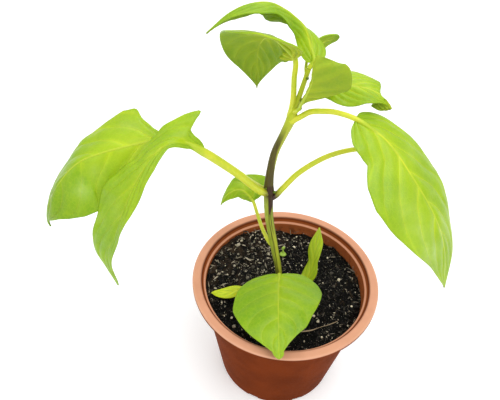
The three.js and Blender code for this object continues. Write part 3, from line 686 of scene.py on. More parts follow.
def vein_masks(finish):
    """A mask of the midrib and one of the side veins, and three measures of a place on the blade.

    The measures are how far out it is towards the margin, how far from a side vein, and how far along.
    """
    u, v = finish.map("blade")[:2]
    phase, away = finish.map("veins")[:2]
    reach = finish.math("ABSOLUTE", finish.math("MULTIPLY_ADD", u, 2.0, -1.0))
    fraction = finish.math("FRACT", phase)
    nearest = finish.math("MINIMUM", fraction, finish.math("SUBTRACT", 1.0, fraction))
    distance = finish.times(nearest, finish.attribute("vein_spacing"))  # millimetres
    width = finish.between(reach, 0.0, 1.0, 1.1, 0.4)
    side = finish.between(distance, 0.0, width, 1.0, 0.0)
    side = finish.times(side, finish.between(reach, 0.75, 1.0, 1.0, 0.0))
    rib_width = finish.between(v, 0.0, 1.0, 1.15, 0.3)
    rib = finish.between(away, 0.0, rib_width, 1.0, 0.0)
    return rib, side, reach, distance, v


LEAF_GLOW = dict(Subsurface_Scale=0.001, Subsurface_Radius=(0.5, 1.0, 0.15))  # light that soaks in


def blade_finish(name, settings, upper):
    """A pepper leaf's skin. The upper side is bright and satin, the underside paler veined and dull."""
    finish = Finish(name, Specular_IOR_Level=0.33 if upper else 0.2, Subsurface_Weight=0.15, **LEAF_GLOW)
    rib, side, reach, distance, v = vein_masks(finish)
    green = settings.upper if upper else settings.under
    vein = settings.vein if upper else tint(settings.vein, 0.72)
    deep, sunny = tint(green, 0.62, 0.76, 0.8), tint(green, 1.36, 1.16, 0.9)
    # Lit and shaded copies of the green for painted light and painted shade, and a pale tint for painted
    # sheen.
    light, dark, sheen_tint = tint(green, 2.0, 1.45, 1.5), tint(green, 0.5, 0.6, 0.9), tint(green, 1.9, 1.5, 28)
    cloud = finish.grain(45, 3, 0.55)
    mottle = finish.grain(380, 4, 0.6)
    net = finish.between(finish.cells(420), 0.0, 0.12, 1.0, 0.0)

    colour = finish.mix(finish.between(cloud, 0.35, 0.65), deep, green)
    near_rib = finish.between(reach, 0.0, 0.5, 1.0, 0.0)
    near_base = finish.between(v, 0.05, 0.75, 0.7, 0.15)
    colour = finish.mix(finish.times(near_rib, near_base), colour, sunny)
    # Painted light and painted shade along the blade: the tone mixes in the lit or the shaded copy.
    tone = finish.attribute("tone")
    colour = finish.mix(finish.times(tone, 0.6, clamp=True), colour, light)
    colour = finish.mix(finish.times(tone, -0.6, clamp=True), colour, dark)
    # Pale patches of painted sheen, standing in for reflections of the light on the blade.
    streaky = finish.between(finish.grain(150, 4, 0.6), 0.35, 0.65, 0.5, 1.15)
    colour = finish.mix(finish.times(finish.attribute("painted_sheen"), streaky, clamp=True), colour, sheen_tint)
    # Painted shade: the blade is painted darker away from its side veins.
    colour = finish.mix(finish.between(distance, 0.4, 3.2, 0.0, 0.36), colour, deep)
    colour = finish.mix(finish.between(mottle, 0.4, 0.75, 0.0, 0.16), colour, sunny)
    colour = finish.mix(finish.times(net, 0.10 if upper else 0.16), colour, vein)
    side_line = finish.times(side, finish.attribute("vein_line"))
    colour = finish.mix(finish.times(side_line, 0.42), colour, vein)
    colour = finish.mix(finish.times(rib, finish.attribute("midrib_line")), colour, vein)

    rough = finish.between(mottle, 0.3, 0.7, 0.3 if upper else 0.55, 0.42 if upper else 0.7)
    sunk = -1.0 if upper else 1.0  # veins are sunk above and stand out below
    relief = finish.times(side, sunk * 0.8)
    relief = finish.math("MULTIPLY_ADD", net, sunk * 0.25, relief)
    relief = finish.math("MULTIPLY_ADD", mottle, 0.5, relief)
    normal = finish.bump(relief, 0.00022, 0.7)
    return finish.set(Base_Color=colour, Roughness=rough, Normal=normal)


def petiole_finish(settings):
    """A yellow-green petiole with fine ridges, purple where it leaves the stem and leaf green as a midrib."""
    finish = Finish("petiole_skin", Specular_IOR_Level=0.5, Subsurface_Weight=0.1, **LEAF_GLOW)
    cloud = finish.grain(120, 3, 0.6)
    ridge = finish.grain(1500, 3, 0.6)
    yellow, green = tint(settings.vein, 1.1, 0.98, 1.1), tint(settings.vein, 0.85, 0.88, 0.8)
    colour = finish.mix(finish.between(cloud, 0.4, 0.62, 0.0, 0.6), yellow, green)
    under_blade = finish.between(finish.attribute("run"), 0.49, 0.58, 0.0, 0.75)
    colour = finish.mix(under_blade, colour, tint(settings.upper, 1.15, 1.06, 1.5))
    cloudy = finish.between(cloud, 0.3, 0.6, 1.0, 0.75)
    colour = finish.mix(finish.times(finish.attribute("dusk"), cloudy, clamp=True), colour, settings.purple)
    rough = finish.between(ridge, 0.3, 0.7, 0.36, 0.5)
    return finish.set(Base_Color=colour, Roughness=rough, Normal=finish.bump(ridge, 0.00008, 0.5))


STEM_GREEN = (0.27, 0.34, 0.03)
STEM_LIGHT = (0.43, 0.51, 0.045)
STEM_FIBRE = (0.45, 0.5, 0.1)
STEM_SUNNY = (0.52, 0.56, 0.05)


def stem_finish(settings):
    """A green stem with dark purple stripes, darkest at the first node and green again near the tip."""
    finish = Finish("stem_skin", Specular_IOR_Level=0.2)
    z = finish.split(finish.place)[2]
    fibre = finish.grain(900, 4, 0.65, stretch=(1, 1, 0.06))
    cloud = finish.grain(160, 4, 0.6, stretch=(1, 1, 0.35))
    green = finish.mix(finish.between(cloud, 0.35, 0.7), STEM_GREEN, STEM_LIGHT)
    green = finish.mix(finish.between(z, 200 * MM, 222 * MM), green, tint(settings.vein, 0.8))
    green = finish.mix(finish.between(fibre, 0.5, 0.75, 0.0, 0.4), green, STEM_FIBRE)
    green = finish.mix(finish.attribute("sunny_strip"), green, STEM_SUNNY)
    worn = finish.between(fibre, 0.45, 0.8, 1.0, 0.8)
    colour = finish.mix(finish.times(finish.attribute("dusk"), worn, clamp=True), green, settings.purple)
    rough = finish.between(fibre, 0.3, 0.7, 0.35, 0.55)
    return finish.set(Base_Color=colour, Roughness=rough, Normal=finish.bump(fibre, 0.00012, 0.6))


# ---------------------------------------------------------------- pot
def wall_radius(z):
    """Outside of the pot's wall at a height, in millimetres."""
    return FOOT_RADIUS + WALL_LEAN * z


def round_corner(centre, radius, start, end, steps=5):
    """Points on an arc of the outline, between two angles in degrees."""
    angles = np.radians(np.linspace(start, end, steps))
    return [(centre[0] + radius * math.cos(a), centre[1] + radius * math.sin(a)) for a in angles]


def pot_profile(height, rim, wall):
    """The wall's outline in millimetres: from the foot up the outside, over the flange, down the inside."""
    foot_edge = [(FOOT_RADIUS - drawn_in, z) for drawn_in, z in ((1.0, 0.0), (0.5, 0.15), (0.1, 0.5))]
    outside = [(wall_radius(z), z) for z in (1.5, 4, 6, 12, 20, 28, 36, 44, 52, 60, 68, 76, 82, 86.6)]
    neck = wall_radius(87)
    under_flange = [(neck + 0.15, height - 3.0), (neck + 0.5, height - 2.55), (rim - 1.75, height - 2.1)]
    lip = [(1.35, 2.4), (1.2, 3.0), (0.8, 3.15), (0.3, 3.0), (0.05, 2.6), (0.0, 1.8)]
    lip = [(rim - drawn_in, height - down) for drawn_in, down in lip]
    top = round_corner((rim - 0.9, height - 0.9), 0.9, 0, 90)
    mouth = round_corner((55.0, height - 0.75), 0.75, 90, 190)

    ledge = height - LEDGE_DROP
    inner = wall_radius(ledge) - wall
    step = [(0.35, 1.2), (0.15, 0.4), (-0.25, 0.08), (-0.8, 0), (-1.0, -0.2), (-1.1, -0.7)]
    step = [(inner + out, ledge + up) for out, up in step]
    step += [
        (wall_radius(ledge - 1) - wall - 1.0, ledge - 1.5),
        (wall_radius(ledge - 3.5) - wall - 0.5, ledge - 3.7),
        (wall_radius(ledge - 6) - wall, ledge - 6),
    ]
    inside = [(wall_radius(z) - wall, z) for z in (70, 55, 40, 25, 10, 3)]
    floor_edge = [(wall_radius(3) - wall - 0.5, 1.8), (wall_radius(3) - wall - 1.4, wall)]
    return foot_edge + outside + under_flange + lip + top + mouth + step + inside + floor_edge


class SEEDLING_OT_pot(bpy.types.Operator):
    """Moulds the nursery pot from a ring of its foot, pushed up and drawn in along its outline"""

    bl_idname = "seedling.pot"
    bl_label = "Pot"

    def execute(self, context):
        settings = context.scene.seedling_pot
        profile = pot_profile(settings.height / MM, settings.rim_radius / MM, settings.wall / MM)
        begin()
        radius, level = profile[0]
        bpy.ops.mesh.primitive_circle_add(
            vertices=settings.sides, radius=radius * MM, fill_type="NGON", location=(0, 0, level * MM)
        )
        pot = context.object
        bpy.ops.object.mode_set(mode="EDIT")
        bpy.ops.mesh.select_all(action="SELECT")
        bpy.ops.mesh.flip_normals()
        bpy.ops.mesh.select_mode(type="EDGE")
        bpy.ops.mesh.select_all(action="SELECT")
        for next_radius, next_level in profile[1:]:
            bpy.ops.mesh.extrude_edges_move(
                TRANSFORM_OT_translate={"value": (0, 0, (next_level - level) * MM)}
            )
            share = next_radius / radius
            bpy.ops.transform.resize(value=(share, share, 1), center_override=(0, 0, next_level * MM))
            radius, level = next_radius, next_level
        bpy.ops.mesh.edge_face_add()
        bpy.ops.mesh.select_all(action="SELECT")
        bpy.ops.mesh.normals_make_consistent(inside=False)
        bpy.ops.object.mode_set(mode="OBJECT")

        cutters = []
        for i in range(SLOTS):
            turn = 2 * math.pi * (i + 0.5) / SLOTS
            begin()
            place = Vector((math.cos(turn), math.sin(turn), 0)) * FOOT_RADIUS * MM
            bpy.ops.mesh.primitive_cube_add(size=1, location=place)
            cutter = context.object
            cutter.scale = Vector(SLOT_SIZE) * MM
            cutter.rotation_euler = (0, 0, turn)
            cutters.append(cutter)
        slots = join(cutters)
        cut = pot.modifiers.new("drainage_slots", "BOOLEAN")
        cut.operation, cut.solver, cut.object = "DIFFERENCE", "EXACT", slots
        apply_modifiers(pot)
        bpy.data.objects.remove(slots)
        only(pot)
        bpy.ops.object.shade_smooth_by_angle(angle=math.radians(38))
        finish_piece(pot, "nursery_pot", ["pot"], [pot_finish(settings)])
        return {"FINISHED"}


# ---------------------------------------------------------------- soil
SOIL_GAP = 0.3  # room between the soil and the pot
SOIL_TOP = 79.3  # above this height the soil stays clear of the ledge
SOIL_STEPS = 170  # squares of the sheet each way
SOIL_STEPS_DOWN = ((58.0, 1.0), (3.5, 1.0), (1.5, 0.96))  # height of each lower ring, and how full it is
CLODS = ((0.16, 1.0), (0.42, 0.75), (1.1, 0.35))  # waves per millimetre and how high they are
HEAP = (-33, 33, 18, 2.5)  # the heap's middle, its reach and its height


def soil_relief(x, y):
    """Height of the soil over its level in millimetres: it falls to the front, with a heap at the back."""
    bank = -0.05 * x + 0.06 * y + 0.0008 * (x**2 - y**2)
    heap_x, heap_y, reach, height = HEAP
    heap = height * np.exp(-((x - heap_x) ** 2 + (y - heap_y) ** 2) / reach**2)
    clods = 0.6 * np.sin(x * 0.21 + 1) * np.cos(y * 0.18) + 0.4 * np.sin(x * 0.37 - y * 0.33)
    return bank + heap + 1.2 * clods


def soil_height(x, y, level):
    """Height of the soil's broken surface at a place, in millimetres."""
    rough = 0.0
    for scale, height in CLODS:
        rough += height * noise.noise(Vector((x * scale, y * scale, 7.3 * scale)))
    return level + float(soil_relief(x, y)) + rough


class SEEDLING_OT_soil(bpy.types.Operator):
    """Fills the pot with soil: a fine sheet pressed to a round, broken up, and pulled down to the floor"""

    bl_idname = "seedling.soil"
    bl_label = "Soil"

    def execute(self, context):
        settings = context.scene.seedling_soil
        level = settings.level / MM
        wall = context.scene.seedling_pot.wall / MM

        def inside(z):
            return wall_radius(np.minimum(z, SOIL_TOP)) - wall - SOIL_GAP

        begin()
        bpy.ops.mesh.primitive_grid_add(
            x_subdivisions=SOIL_STEPS, y_subdivisions=SOIL_STEPS, size=2, location=(0, 0, 0)
        )
        soil = context.object
        flat = positions(soil.data)
        x, y = flat[:, 0], flat[:, 1]
        round_x, round_y = x * np.sqrt(1 - y**2 / 2), y * np.sqrt(1 - x**2 / 2)
        radius = inside(level)
        heights = np.array([soil_height(a * radius, b * radius, level) for a, b in zip(round_x, round_y)])
        scale = inside(heights)
        move_vertices(soil.data, np.stack([round_x * scale, round_y * scale, heights], axis=1) * MM)
        bpy.ops.object.mode_set(mode="EDIT")
        bpy.ops.mesh.select_mode(type="EDGE")
        bpy.ops.mesh.select_all(action="DESELECT")
        bpy.ops.mesh.select_non_manifold()
        for _ in SOIL_STEPS_DOWN:
            bpy.ops.mesh.extrude_edges_move(TRANSFORM_OT_translate={"value": (0, 0, -MM)})
        bpy.ops.mesh.edge_face_add()
        bpy.ops.object.mode_set(mode="OBJECT")
        points = positions(soil.data) / MM
        first, border = len(flat), (len(points) - len(flat)) // len(SOIL_STEPS_DOWN)
        for ring, (low, share) in enumerate(SOIL_STEPS_DOWN):
            rows = slice(first + ring * border, first + (ring + 1) * border)
            outward = points[rows, :2] / np.linalg.norm(points[rows, :2], axis=1, keepdims=True)
            points[rows, :2] = outward * inside(low) * share
            points[rows, 2] = low
        move_vertices(soil.data, points * MM)
        drop_maps(soil.data)
        only(soil)
        bpy.ops.object.mode_set(mode="EDIT")
        bpy.ops.mesh.select_all(action="SELECT")
        bpy.ops.mesh.normals_make_consistent(inside=False)
        bpy.ops.object.mode_set(mode="OBJECT")
        bpy.ops.object.shade_smooth_by_angle(angle=math.radians(50))
        finish_piece(soil, "potting_soil", ["soil"], [soil_finish(settings)])
        return {"FINISHED"}


def loose_pieces(name, model, places, shades):
    """Copies of one small model, each with its own place, turn, size and shade, as one mesh."""
    shape = positions(model.data)
    faces = [tuple(p.vertices) for p in model.data.polygons]
    bpy.data.objects.remove(model)
    points, polygons, tone = [], [], []
    for index, (matrix, shade) in enumerate(zip(places, shades)):
        matrix = np.asarray(matrix)
        points.append(shape @ matrix[:3, :3].T + matrix[:3, 3])
        polygons += [tuple(v + index * len(shape) for v in face) for face in faces]
        tone += [shade] * len(shape)
    mesh = bpy.data.meshes.new(name)
    mesh.from_pydata(np.concatenate(points).tolist(), [], polygons)
    mesh.update()
    write_attribute(mesh, "shade", tone)
    made = bpy.data.objects.new(name, mesh)
    bpy.context.collection.objects.link(made)
    only(made)
    bpy.ops.object.shade_smooth_by_angle(angle=math.radians(40))
    return made


def crumb_model(dice, roughness=0.28):
    """A small broken lump of about unit size."""
    begin()
    bpy.ops.mesh.primitive_ico_sphere_add(subdivisions=1, radius=0.5, location=(0, 0, 0))
    crumb = bpy.context.object
    shape = positions(crumb.data)
    shape = shape * np.array([[1 + dice.uniform(-roughness, roughness)] for _ in shape])
    move_vertices(crumb.data, shape)
    return crumb


def fibre_model(dice):
    """A bent sliver of unit length along X."""
    begin()
    bpy.ops.mesh.primitive_cylinder_add(
        vertices=4, radius=0.5, depth=1, location=(0, 0, 0), rotation=(0, math.pi / 2, 0)
    )
    fibre = bpy.context.object
    only(fibre)
    bpy.ops.object.transform_apply(location=True, rotation=True, scale=True)
    bpy.ops.object.mode_set(mode="EDIT")
    for share in (-0.25, 0.0, 0.25):
        bpy.ops.mesh.select_all(action="SELECT")
        bpy.ops.mesh.bisect(plane_co=(share, 0, 0), plane_no=(1, 0, 0))
    bpy.ops.object.mode_set(mode="OBJECT")
    shape = positions(fibre.data)
    thin = 1 - 0.75 * (np.abs(shape[:, 0]) * 2) ** 2
    shape[:, 1:] *= thin[:, None]
    shape[:, 1] += dice.uniform(0.5, 0.9) * (0.25 - shape[:, 0] ** 2)
    shape[:, 2] += dice.uniform(-0.5, 0.5) * np.sin(shape[:, 0] * 6)
    move_vertices(fibre.data, shape)
    return fibre


def turned(dice, tilt=math.pi):
    """A random turn: any way round Z, and up to tilt over the other axes."""
    return (
        Matrix.Rotation(dice.uniform(0, 2 * math.pi), 4, "Z")
        @ Matrix.Rotation(dice.uniform(-tilt, tilt), 4, "X")
        @ Matrix.Rotation(dice.uniform(-tilt, tilt), 4, "Y")
    )


def laid(place, turn, size, stretch):
    """Where a loose piece lies: its place and size in millimetres, its turn and how it is stretched."""
    move = Matrix.Translation(Vector(place) * MM)
    return move @ turn @ Matrix.Scale(size * MM, 4) @ Matrix.Diagonal((*stretch, 1))


def on_soil(dice, level, reach=48.5):
    """A random place on the soil, in millimetres."""
    radius, turn = reach * math.sqrt(dice.random()), dice.uniform(0, 2 * math.pi)
    x, y = radius * math.cos(turn), radius * math.sin(turn)
    return x, y, soil_height(x, y, level)


def patch(x, y):
    """How bright the litter is at a place: in darker and lighter patches, and brighter at the back left."""
    light = min(max(0.6 + 1.8 * noise.noise(Vector((x * 0.12, y * 0.12, 3.1))), 0.05), 1.3)
    return light + 0.6 if y - x > 22 else light


# The larger pale grains: x, y and size. Smaller ones lie anywhere, the brightest of them partly painted
# glints of the wet peat.
GRAINS = [
    (-30, 34, 1.0), (-20.5, 45.5, 0.9), (-38, 6, 0.8), (-18, 21.5, 0.8), (7, 36, 1.2), (9, 47, 0.9),
    (37, 11, 1.2), (44, -10.5, 0.8), (22, -22.5, 1.0), (19, -19.5, 1.3), (35, -35.5, 1.0), (31, -39, 1.4),
    (13, -36.5, 0.7), (-1, -49, 0.8), (24, -33.5, 0.8), (12, 20.5, 0.8), (30, 28, 0.9), (-40, -16, 0.8),
    (-33, -25.5, 0.9), (41, -24, 0.7), (-16, 41, 0.8), (26, 6.5, 0.7),
]
SMALL_GRAINS_AND_GLINTS = 460
LARGEST_CRUMB = 3.2
WALL_FIBRES = 6  # one fibre of so many is caught on the pot's inner wall
TWIG = [(11, -31), (18, -29), (23, -26.5), (29, -24), (34.5, -21.5)]
SPROUT = (-1, 28)


def scatter_crumbs(settings, level, dice):
    """Broken lumps of peat. Pale ones are rare, and less so at the back left."""
    places, shades = [], []
    for _ in range(settings.crumbs):
        x, y, z = on_soil(dice, level)
        size = min(dice.lognormvariate(0.25, 0.42), LARGEST_CRUMB)
        stretch = (size, size * dice.uniform(0.6, 1), size * dice.uniform(0.45, 0.9))
        places.append(laid((x, y, z + size * 0.12), turned(dice, 0.6), 1, stretch))
        rarity = 12 if x > y - 22 else 3
        shades.append((-0.06 + 1.06 * dice.random() ** rarity) * patch(x, y))
    crumbs = loose_pieces("peat_crumbs", crumb_model(dice), places, shades)
    finish = litter_finish("peat_crumb", settings.peat, (0.5, 0.44, 0.33), 0.7)
    finish_piece(crumbs, "peat_crumbs", (), [finish])


def scatter_fibres(settings, level, dice):
    """Slivers of plant fibre, longer and paler on the heap, some caught on the pot's inner wall."""
    places, shades = [], []
    for index in range(settings.fibres):
        x, y, z = on_soil(dice, level, 50)
        heaped = y - x > 18 and dice.random() < 0.75
        length = dice.uniform(1.2, 4.2) * (1.4 if heaped else 1.0)
        thick = 0.25 + 0.9 * dice.random() ** 2
        raised = 0.35 if dice.random() < 0.2 else 0.0
        if index % WALL_FIBRES == 0:
            turn = dice.uniform(-0.5, 3.6)
            x, y = 49.6 * math.cos(turn), 49.6 * math.sin(turn)
            z = soil_height(x * 0.97, y * 0.97, level) + dice.uniform(0, 3.5)
        places.append(laid((x, y, z + 0.3 + raised), turned(dice, 0.35), 1, (length, thick, thick)))
        rarity = 1.5 if heaped else 3.5
        shades.append((-0.05 + 1.05 * dice.random() ** rarity) * patch(x, y))
    fibres = loose_pieces("peat_fibres", fibre_model(dice), places, shades)
    finish = litter_finish("peat_fibre", (0.02, 0.014, 0.009), (0.6, 0.52, 0.39), 0.55)
    finish_piece(fibres, "peat_fibres", (), [finish])


def scatter_grains_and_glints(level, dice):
    """Pale mineral grains: the larger ones in their places, and many small ones anywhere, whose bright ones
    are partly painted glints of the wet peat.
    """
    places, shades = [], []
    for x, y, size in GRAINS:
        stretch = (1, dice.uniform(0.6, 1), dice.uniform(0.6, 0.9))
        place = (x, y, soil_height(x, y, level) + size * 0.35)
        places.append(laid(place, turned(dice), size * 2.2, stretch))
        shades.append(dice.uniform(0.75, 1.1))
    # Small pale grains: partly grains and partly painted glints of the wet peat.
    for _ in range(SMALL_GRAINS_AND_GLINTS):
        x, y, z = on_soil(dice, level, 49.5)
        size = 0.35 + 0.9 * dice.random() ** 2
        stretch = (dice.uniform(1, 2.4), 0.8, 0.6)
        places.append(laid((x, y, z + size * 0.5), turned(dice), size, stretch))
        shades.append(dice.uniform(0.05, 1.0) * patch(x, y))
    grains = loose_pieces("pale_grains", crumb_model(dice, 0.2), places, shades)
    finish = litter_finish("pale_grain", (0.13, 0.12, 0.09), (0.92, 0.83, 0.6), 0.5)
    finish_piece(grains, "pale_grains", (), [finish])


def lay_twig(level):
    """A thin dry twig that lies over the clods."""

    def ground(x, y):
        return max(soil_height(x, y, level), soil_height(x + 1, y, level), soil_height(x, y + 1, level))

    shares = np.linspace(0, 1, 40)
    points = HandCurve([(x, y, 0) for x, y in TWIG]).at(shares)
    points[:, 2] = smoothed([ground(x, y) + 0.7 for x, y, _ in points])
    radii = 0.32 + 0.12 * np.sin(shares * 9) - 0.22 * shares**2
    twig = tube("twig", points, radii, 2)
    write_even(twig.data, "shade", 0.6)
    finish = litter_finish("dry_twig_bark", (0.25, 0.17, 0.09), (0.62, 0.48, 0.3), 0.6)
    finish_piece(twig, "dry_twig", (), [finish])


def plant_sprout(level):
    """A seed that has just opened, with its short bent shoot."""
    x, y = SPROUT
    z = soil_height(x, y, level)
    shoot = [(0, -1.2, 0.2), (0, -0.4, 2), (0, 0, 4.2), (-0.4, 1, 6), (1, 1.6, 6.6)]
    path = HandCurve([(x + right, y + back, z + up) for right, back, up in shoot])
    shares = np.linspace(0, 1, 34)
    radii = along([0.7, 2.0, 2.5, 2.1, 1.0, 0.6, 0.55, 0.6, 1.0, 1.1, 0.4], shares)
    sprout = tube("sprout", path.at(shares), radii, 4)
    write_even(sprout.data, "shade", 0.6)
    finish = litter_finish("sprout_skin", (0.22, 0.42, 0.05), (0.5, 0.7, 0.1), 0.4)
    finish_piece(sprout, "sprouting_seed", (), [finish])


class SEEDLING_OT_litter(bpy.types.Operator):
    """Scatters peat crumbs, fibres and pale grains, some of them painted glints, over the soil, with one twig
    and one sprouting seed
    """

    bl_idname = "seedling.litter"
    bl_label = "Soil Litter"

    def execute(self, context):
        settings = context.scene.seedling_soil
        level = settings.level / MM
        dice = random.Random(11)
        scatter_crumbs(settings, level, dice)
        scatter_fibres(settings, level, dice)
        scatter_grains_and_glints(level, dice)
        lay_twig(level)
        plant_sprout(level)
        return {"FINISHED"}


# ---------------------------------------------------------------- stem
NODES = ((166.5, 0.35, 2.2), (216.5, 0.25, 2.0))  # height of each node, its swelling and its reach


def stripe(angle, centre, width, soft=14):
    """1 on a stripe down the stem and 0 beside it: its middle, half width and soft edge in degrees."""
    away = np.abs((angle - centre + 180) % 360 - 180)
    return 1 - smoothstep(width - soft, width + soft, away)


def sunny_strip(z, angle):
    """How bright the stem is at a height and an angle: a strip at the front low down, most of it above.

    Here and in the next one, heights are in millimetres and angles in degrees.
    """
    low = stripe(angle, -54, 24, 10) * smoothstep(146, 130, z)
    high = stripe(angle, -20, 80, 20) * smoothstep(176, 188, z) * 0.8
    return low + high


def purple_marks(z, angle):
    """How purple the stem is: seams low down, a dark first node, and above it a flank that narrows away."""
    widening = smoothstep(147, 160, z)
    seam = stripe(angle, -84 + 40 * widening, 6 + 38 * widening, 6)
    thin = stripe(angle, -56, 5, 5) * smoothstep(126, 136, z)
    worn = stripe(angle, -145, 48, 18) * (0.1 + 0.5 * smoothstep(126, 100, z))
    flanks = [stripe(angle, 12, 30, 9), stripe(angle, 95, 30), stripe(angle, 178, 12) * 0.7]
    lower = np.maximum.reduce([seam, thin, worn, *flanks])
    lower *= smoothstep(74, 80, z) * 0.85 + 0.15
    foot = smoothstep(84, 76, z) * 0.6

    facing = smoothstep(-150, -95, -np.abs(angle + 30) - 30)
    node = np.exp(-(((z - 168) / 6.5) ** 2)) * (0.35 + 0.65 * facing)
    edge = np.interp(z, [172, 185, 196, 212], [0, -42, -72, -108])
    upper = np.where(angle < 30, smoothstep(edge + 14, edge - 14, angle), 0.4)
    fade = smoothstep(217, 199, z) * 0.9
    is_upper = smoothstep(164, 168, z)
    over_node = 0.9 * smoothstep(182, 170, z) * is_upper
    marks = lower * (1 - is_upper) + upper * is_upper * fade
    marks = np.maximum.reduce([marks, foot, np.clip(node * 1.25, 0, 1), over_node])
    return np.clip(marks, 0, 1)


class SEEDLING_OT_stem(bpy.types.Operator):
    """Draws the stem with its swollen nodes, faint ribs and dark stripes"""

    bl_idname = "seedling.stem"
    bl_label = "Stem"

    def execute(self, context):
        settings = context.scene.seedling_foliage
        table = np.array(STEM, float)
        points = HandCurve(table[:, :3]).at(np.linspace(0, 1, 320))
        radii = smoothed(np.interp(points[:, 2], table[:, 2], table[:, 3]))
        for height, swelling, reach in NODES:
            radii += swelling * np.exp(-(((points[:, 2] - height) / reach) ** 2))
        stem = tube("stem", points, radii, 14)
        mesh = stem.data
        outward = read_attribute(mesh, "outward")
        place = positions(mesh)
        turn = np.arctan2(outward[:, 1], outward[:, 0])  # 0 is the right side, -90 degrees the front
        z = place[:, 2] / MM
        ribs = 0.09 * np.cos(5 * turn + 0.6) + 0.05 * np.cos(9 * turn + z * 0.02)
        body = smoothstep(78, 90, z) * smoothstep(243, 238, z)
        move_vertices(mesh, place + outward * (ribs * body * MM)[:, None])

        wander = np.array([noise.noise(Vector((0.3, 1.7, height * 0.06))) for height in z]) * 0.25
        angle = np.degrees(turn + wander)
        write_attribute(mesh, "sunny_strip", sunny_strip(z, angle))
        write_attribute(mesh, "dusk", purple_marks(z, angle))
        finish_piece(stem, "stem_skin", ["stem"], [stem_finish(settings)])
        return {"FINISHED"}


# ---------------------------------------------------------------- leaves
NARROWEST = 0.4  # half width of a blade at its base and tip
BENDS = 6  # steps in which a half curls from the midrib to the margin
UNDER_BLADE = np.array([0.1, 0.22, 0.35])  # where along the blade the thick part of its midrib is placed
MIDRIB_RADIUS = 0.5  # where that part ends
MIDRIB_TIP = 0.16  # where the midrib fades out
MIDRIB_SINK = 0.9  # share of its radius by which the thick part lies below the blade
ROWS_PER_MM = 1.5
COLUMNS_PER_MM = 1.3


def breadth(leaf, half, t):
    """Share of the full half width at share t of the blade's length."""
    widest = leaf["widest"][half]
    rise = np.sin(math.pi / 2 * np.clip(t / widest, 0, 1)) ** leaf["base"][half]
    fall = np.cos(math.pi / 2 * np.clip((t - widest) / (1 - widest), 0, 1)) ** leaf["tip"][half]
    return np.where(t < widest, rise, fall)


def face_at(leaf, rib, t):
    """The way the upper side looks at share t of the midrib, square to it."""
    face, tangent = along(leaf["face"], t), rib.tangent(t)
    return unit(face - tangent * np.sum(face * tangent, axis=-1, keepdims=True))


def blade_points(leaf, rib, t, across):
    """Points of the blade's upper side. Across runs from -1 at the right margin to 1 at the left."""
    tangent = rib.tangent(t)
    face = face_at(leaf, rib, t)
    left = across >= 0
    side = np.cross(face, tangent) * np.where(left, 1, -1)[:, None]
    sweep = np.radians(leaf["sweep"][0] + (leaf["sweep"][1] - leaf["sweep"][0]) * t)[:, None]
    outward = side * np.cos(sweep) + tangent * np.sin(sweep)

    def pair(read):
        return np.where(left, read(0), read(1))

    share = pair(lambda half: breadth(leaf, half, t))
    trim = pair(lambda half: along(leaf["trim"][half], t)) if "trim" in leaf else 1.0
    full = pair(lambda half: np.full(len(t), float(leaf["half"][half])))
    width = np.maximum(full * share * trim, NARROWEST)
    lift = pair(lambda half: along(leaf["lift"][half], t))
    curl = pair(lambda half: np.full(len(t), float(leaf["curl"][half])))
    reach = np.abs(across)
    points = rib.at(t)
    for i in range(BENDS):
        angle = np.radians(lift + curl * reach * ((i + 0.5) / BENDS))[:, None]
        step = (width * reach / BENDS)[:, None]
        points = points + (outward * np.cos(angle) + face * np.sin(angle)) * step
    height, count, *phases = leaf["wave"]
    phase = pair(lambda half: np.full(len(t), float(phases[half])))
    wave = height * np.sin(2 * math.pi * (count * t + phase)) * reach**2 * share
    points = points + face * wave[:, None]
    if "spur" in leaf:
        place, spread, move = leaf["spur"]
        pulled = np.where(left, 0, np.exp(-(((t - place) / spread) ** 2)) * reach**2)
        points = points + pulled[:, None] * np.array(move, float)
    return points, width


def vein_phase(leaf, t, reach):
    """Whole numbers lie on side veins: they run forward as they leave the midrib."""
    count, forward = leaf["veins"]
    return (t - forward * reach**1.25) * count


def quilted_points(leaf, rib, quilting, t, across):
    """The half width of a blade, and its upper side, raised between the side veins and sunk at the midrib."""
    points, width = blade_points(leaf, rib, t, across)
    ahead, _ = blade_points(leaf, rib, np.minimum(t + 0.004, 1), across)
    behind, _ = blade_points(leaf, rib, np.maximum(t - 0.004, 0), across)
    left, _ = blade_points(leaf, rib, t, np.minimum(across + 0.02, 1))
    right, _ = blade_points(leaf, rib, t, np.maximum(across - 0.02, -1))
    normal = unit(np.cross(right - left, ahead - behind))
    reach = np.abs(across)
    phase = vein_phase(leaf, t, reach) + np.where(across >= 0, 0.0, 0.5)
    bulge = np.abs(np.sin(math.pi * phase)) ** 0.8 - 0.6
    calm = smoothstep(0.0, 0.12, reach) * smoothstep(1.0, 0.7, reach) * np.clip(width / 12, 0, 1)
    groove = -0.35 * np.exp(-((reach * width / 1.3) ** 2)) * np.clip(width / 8, 0, 1)
    crumple = np.array([noise.noise(Vector(p) * 0.11) for p in points]) * 0.5 * smoothstep(0, 0.3, reach)
    crumple *= np.clip(width / 14, 0, 1)
    height = quilting * bulge * calm + groove + crumple
    return points + normal * height[:, None], width


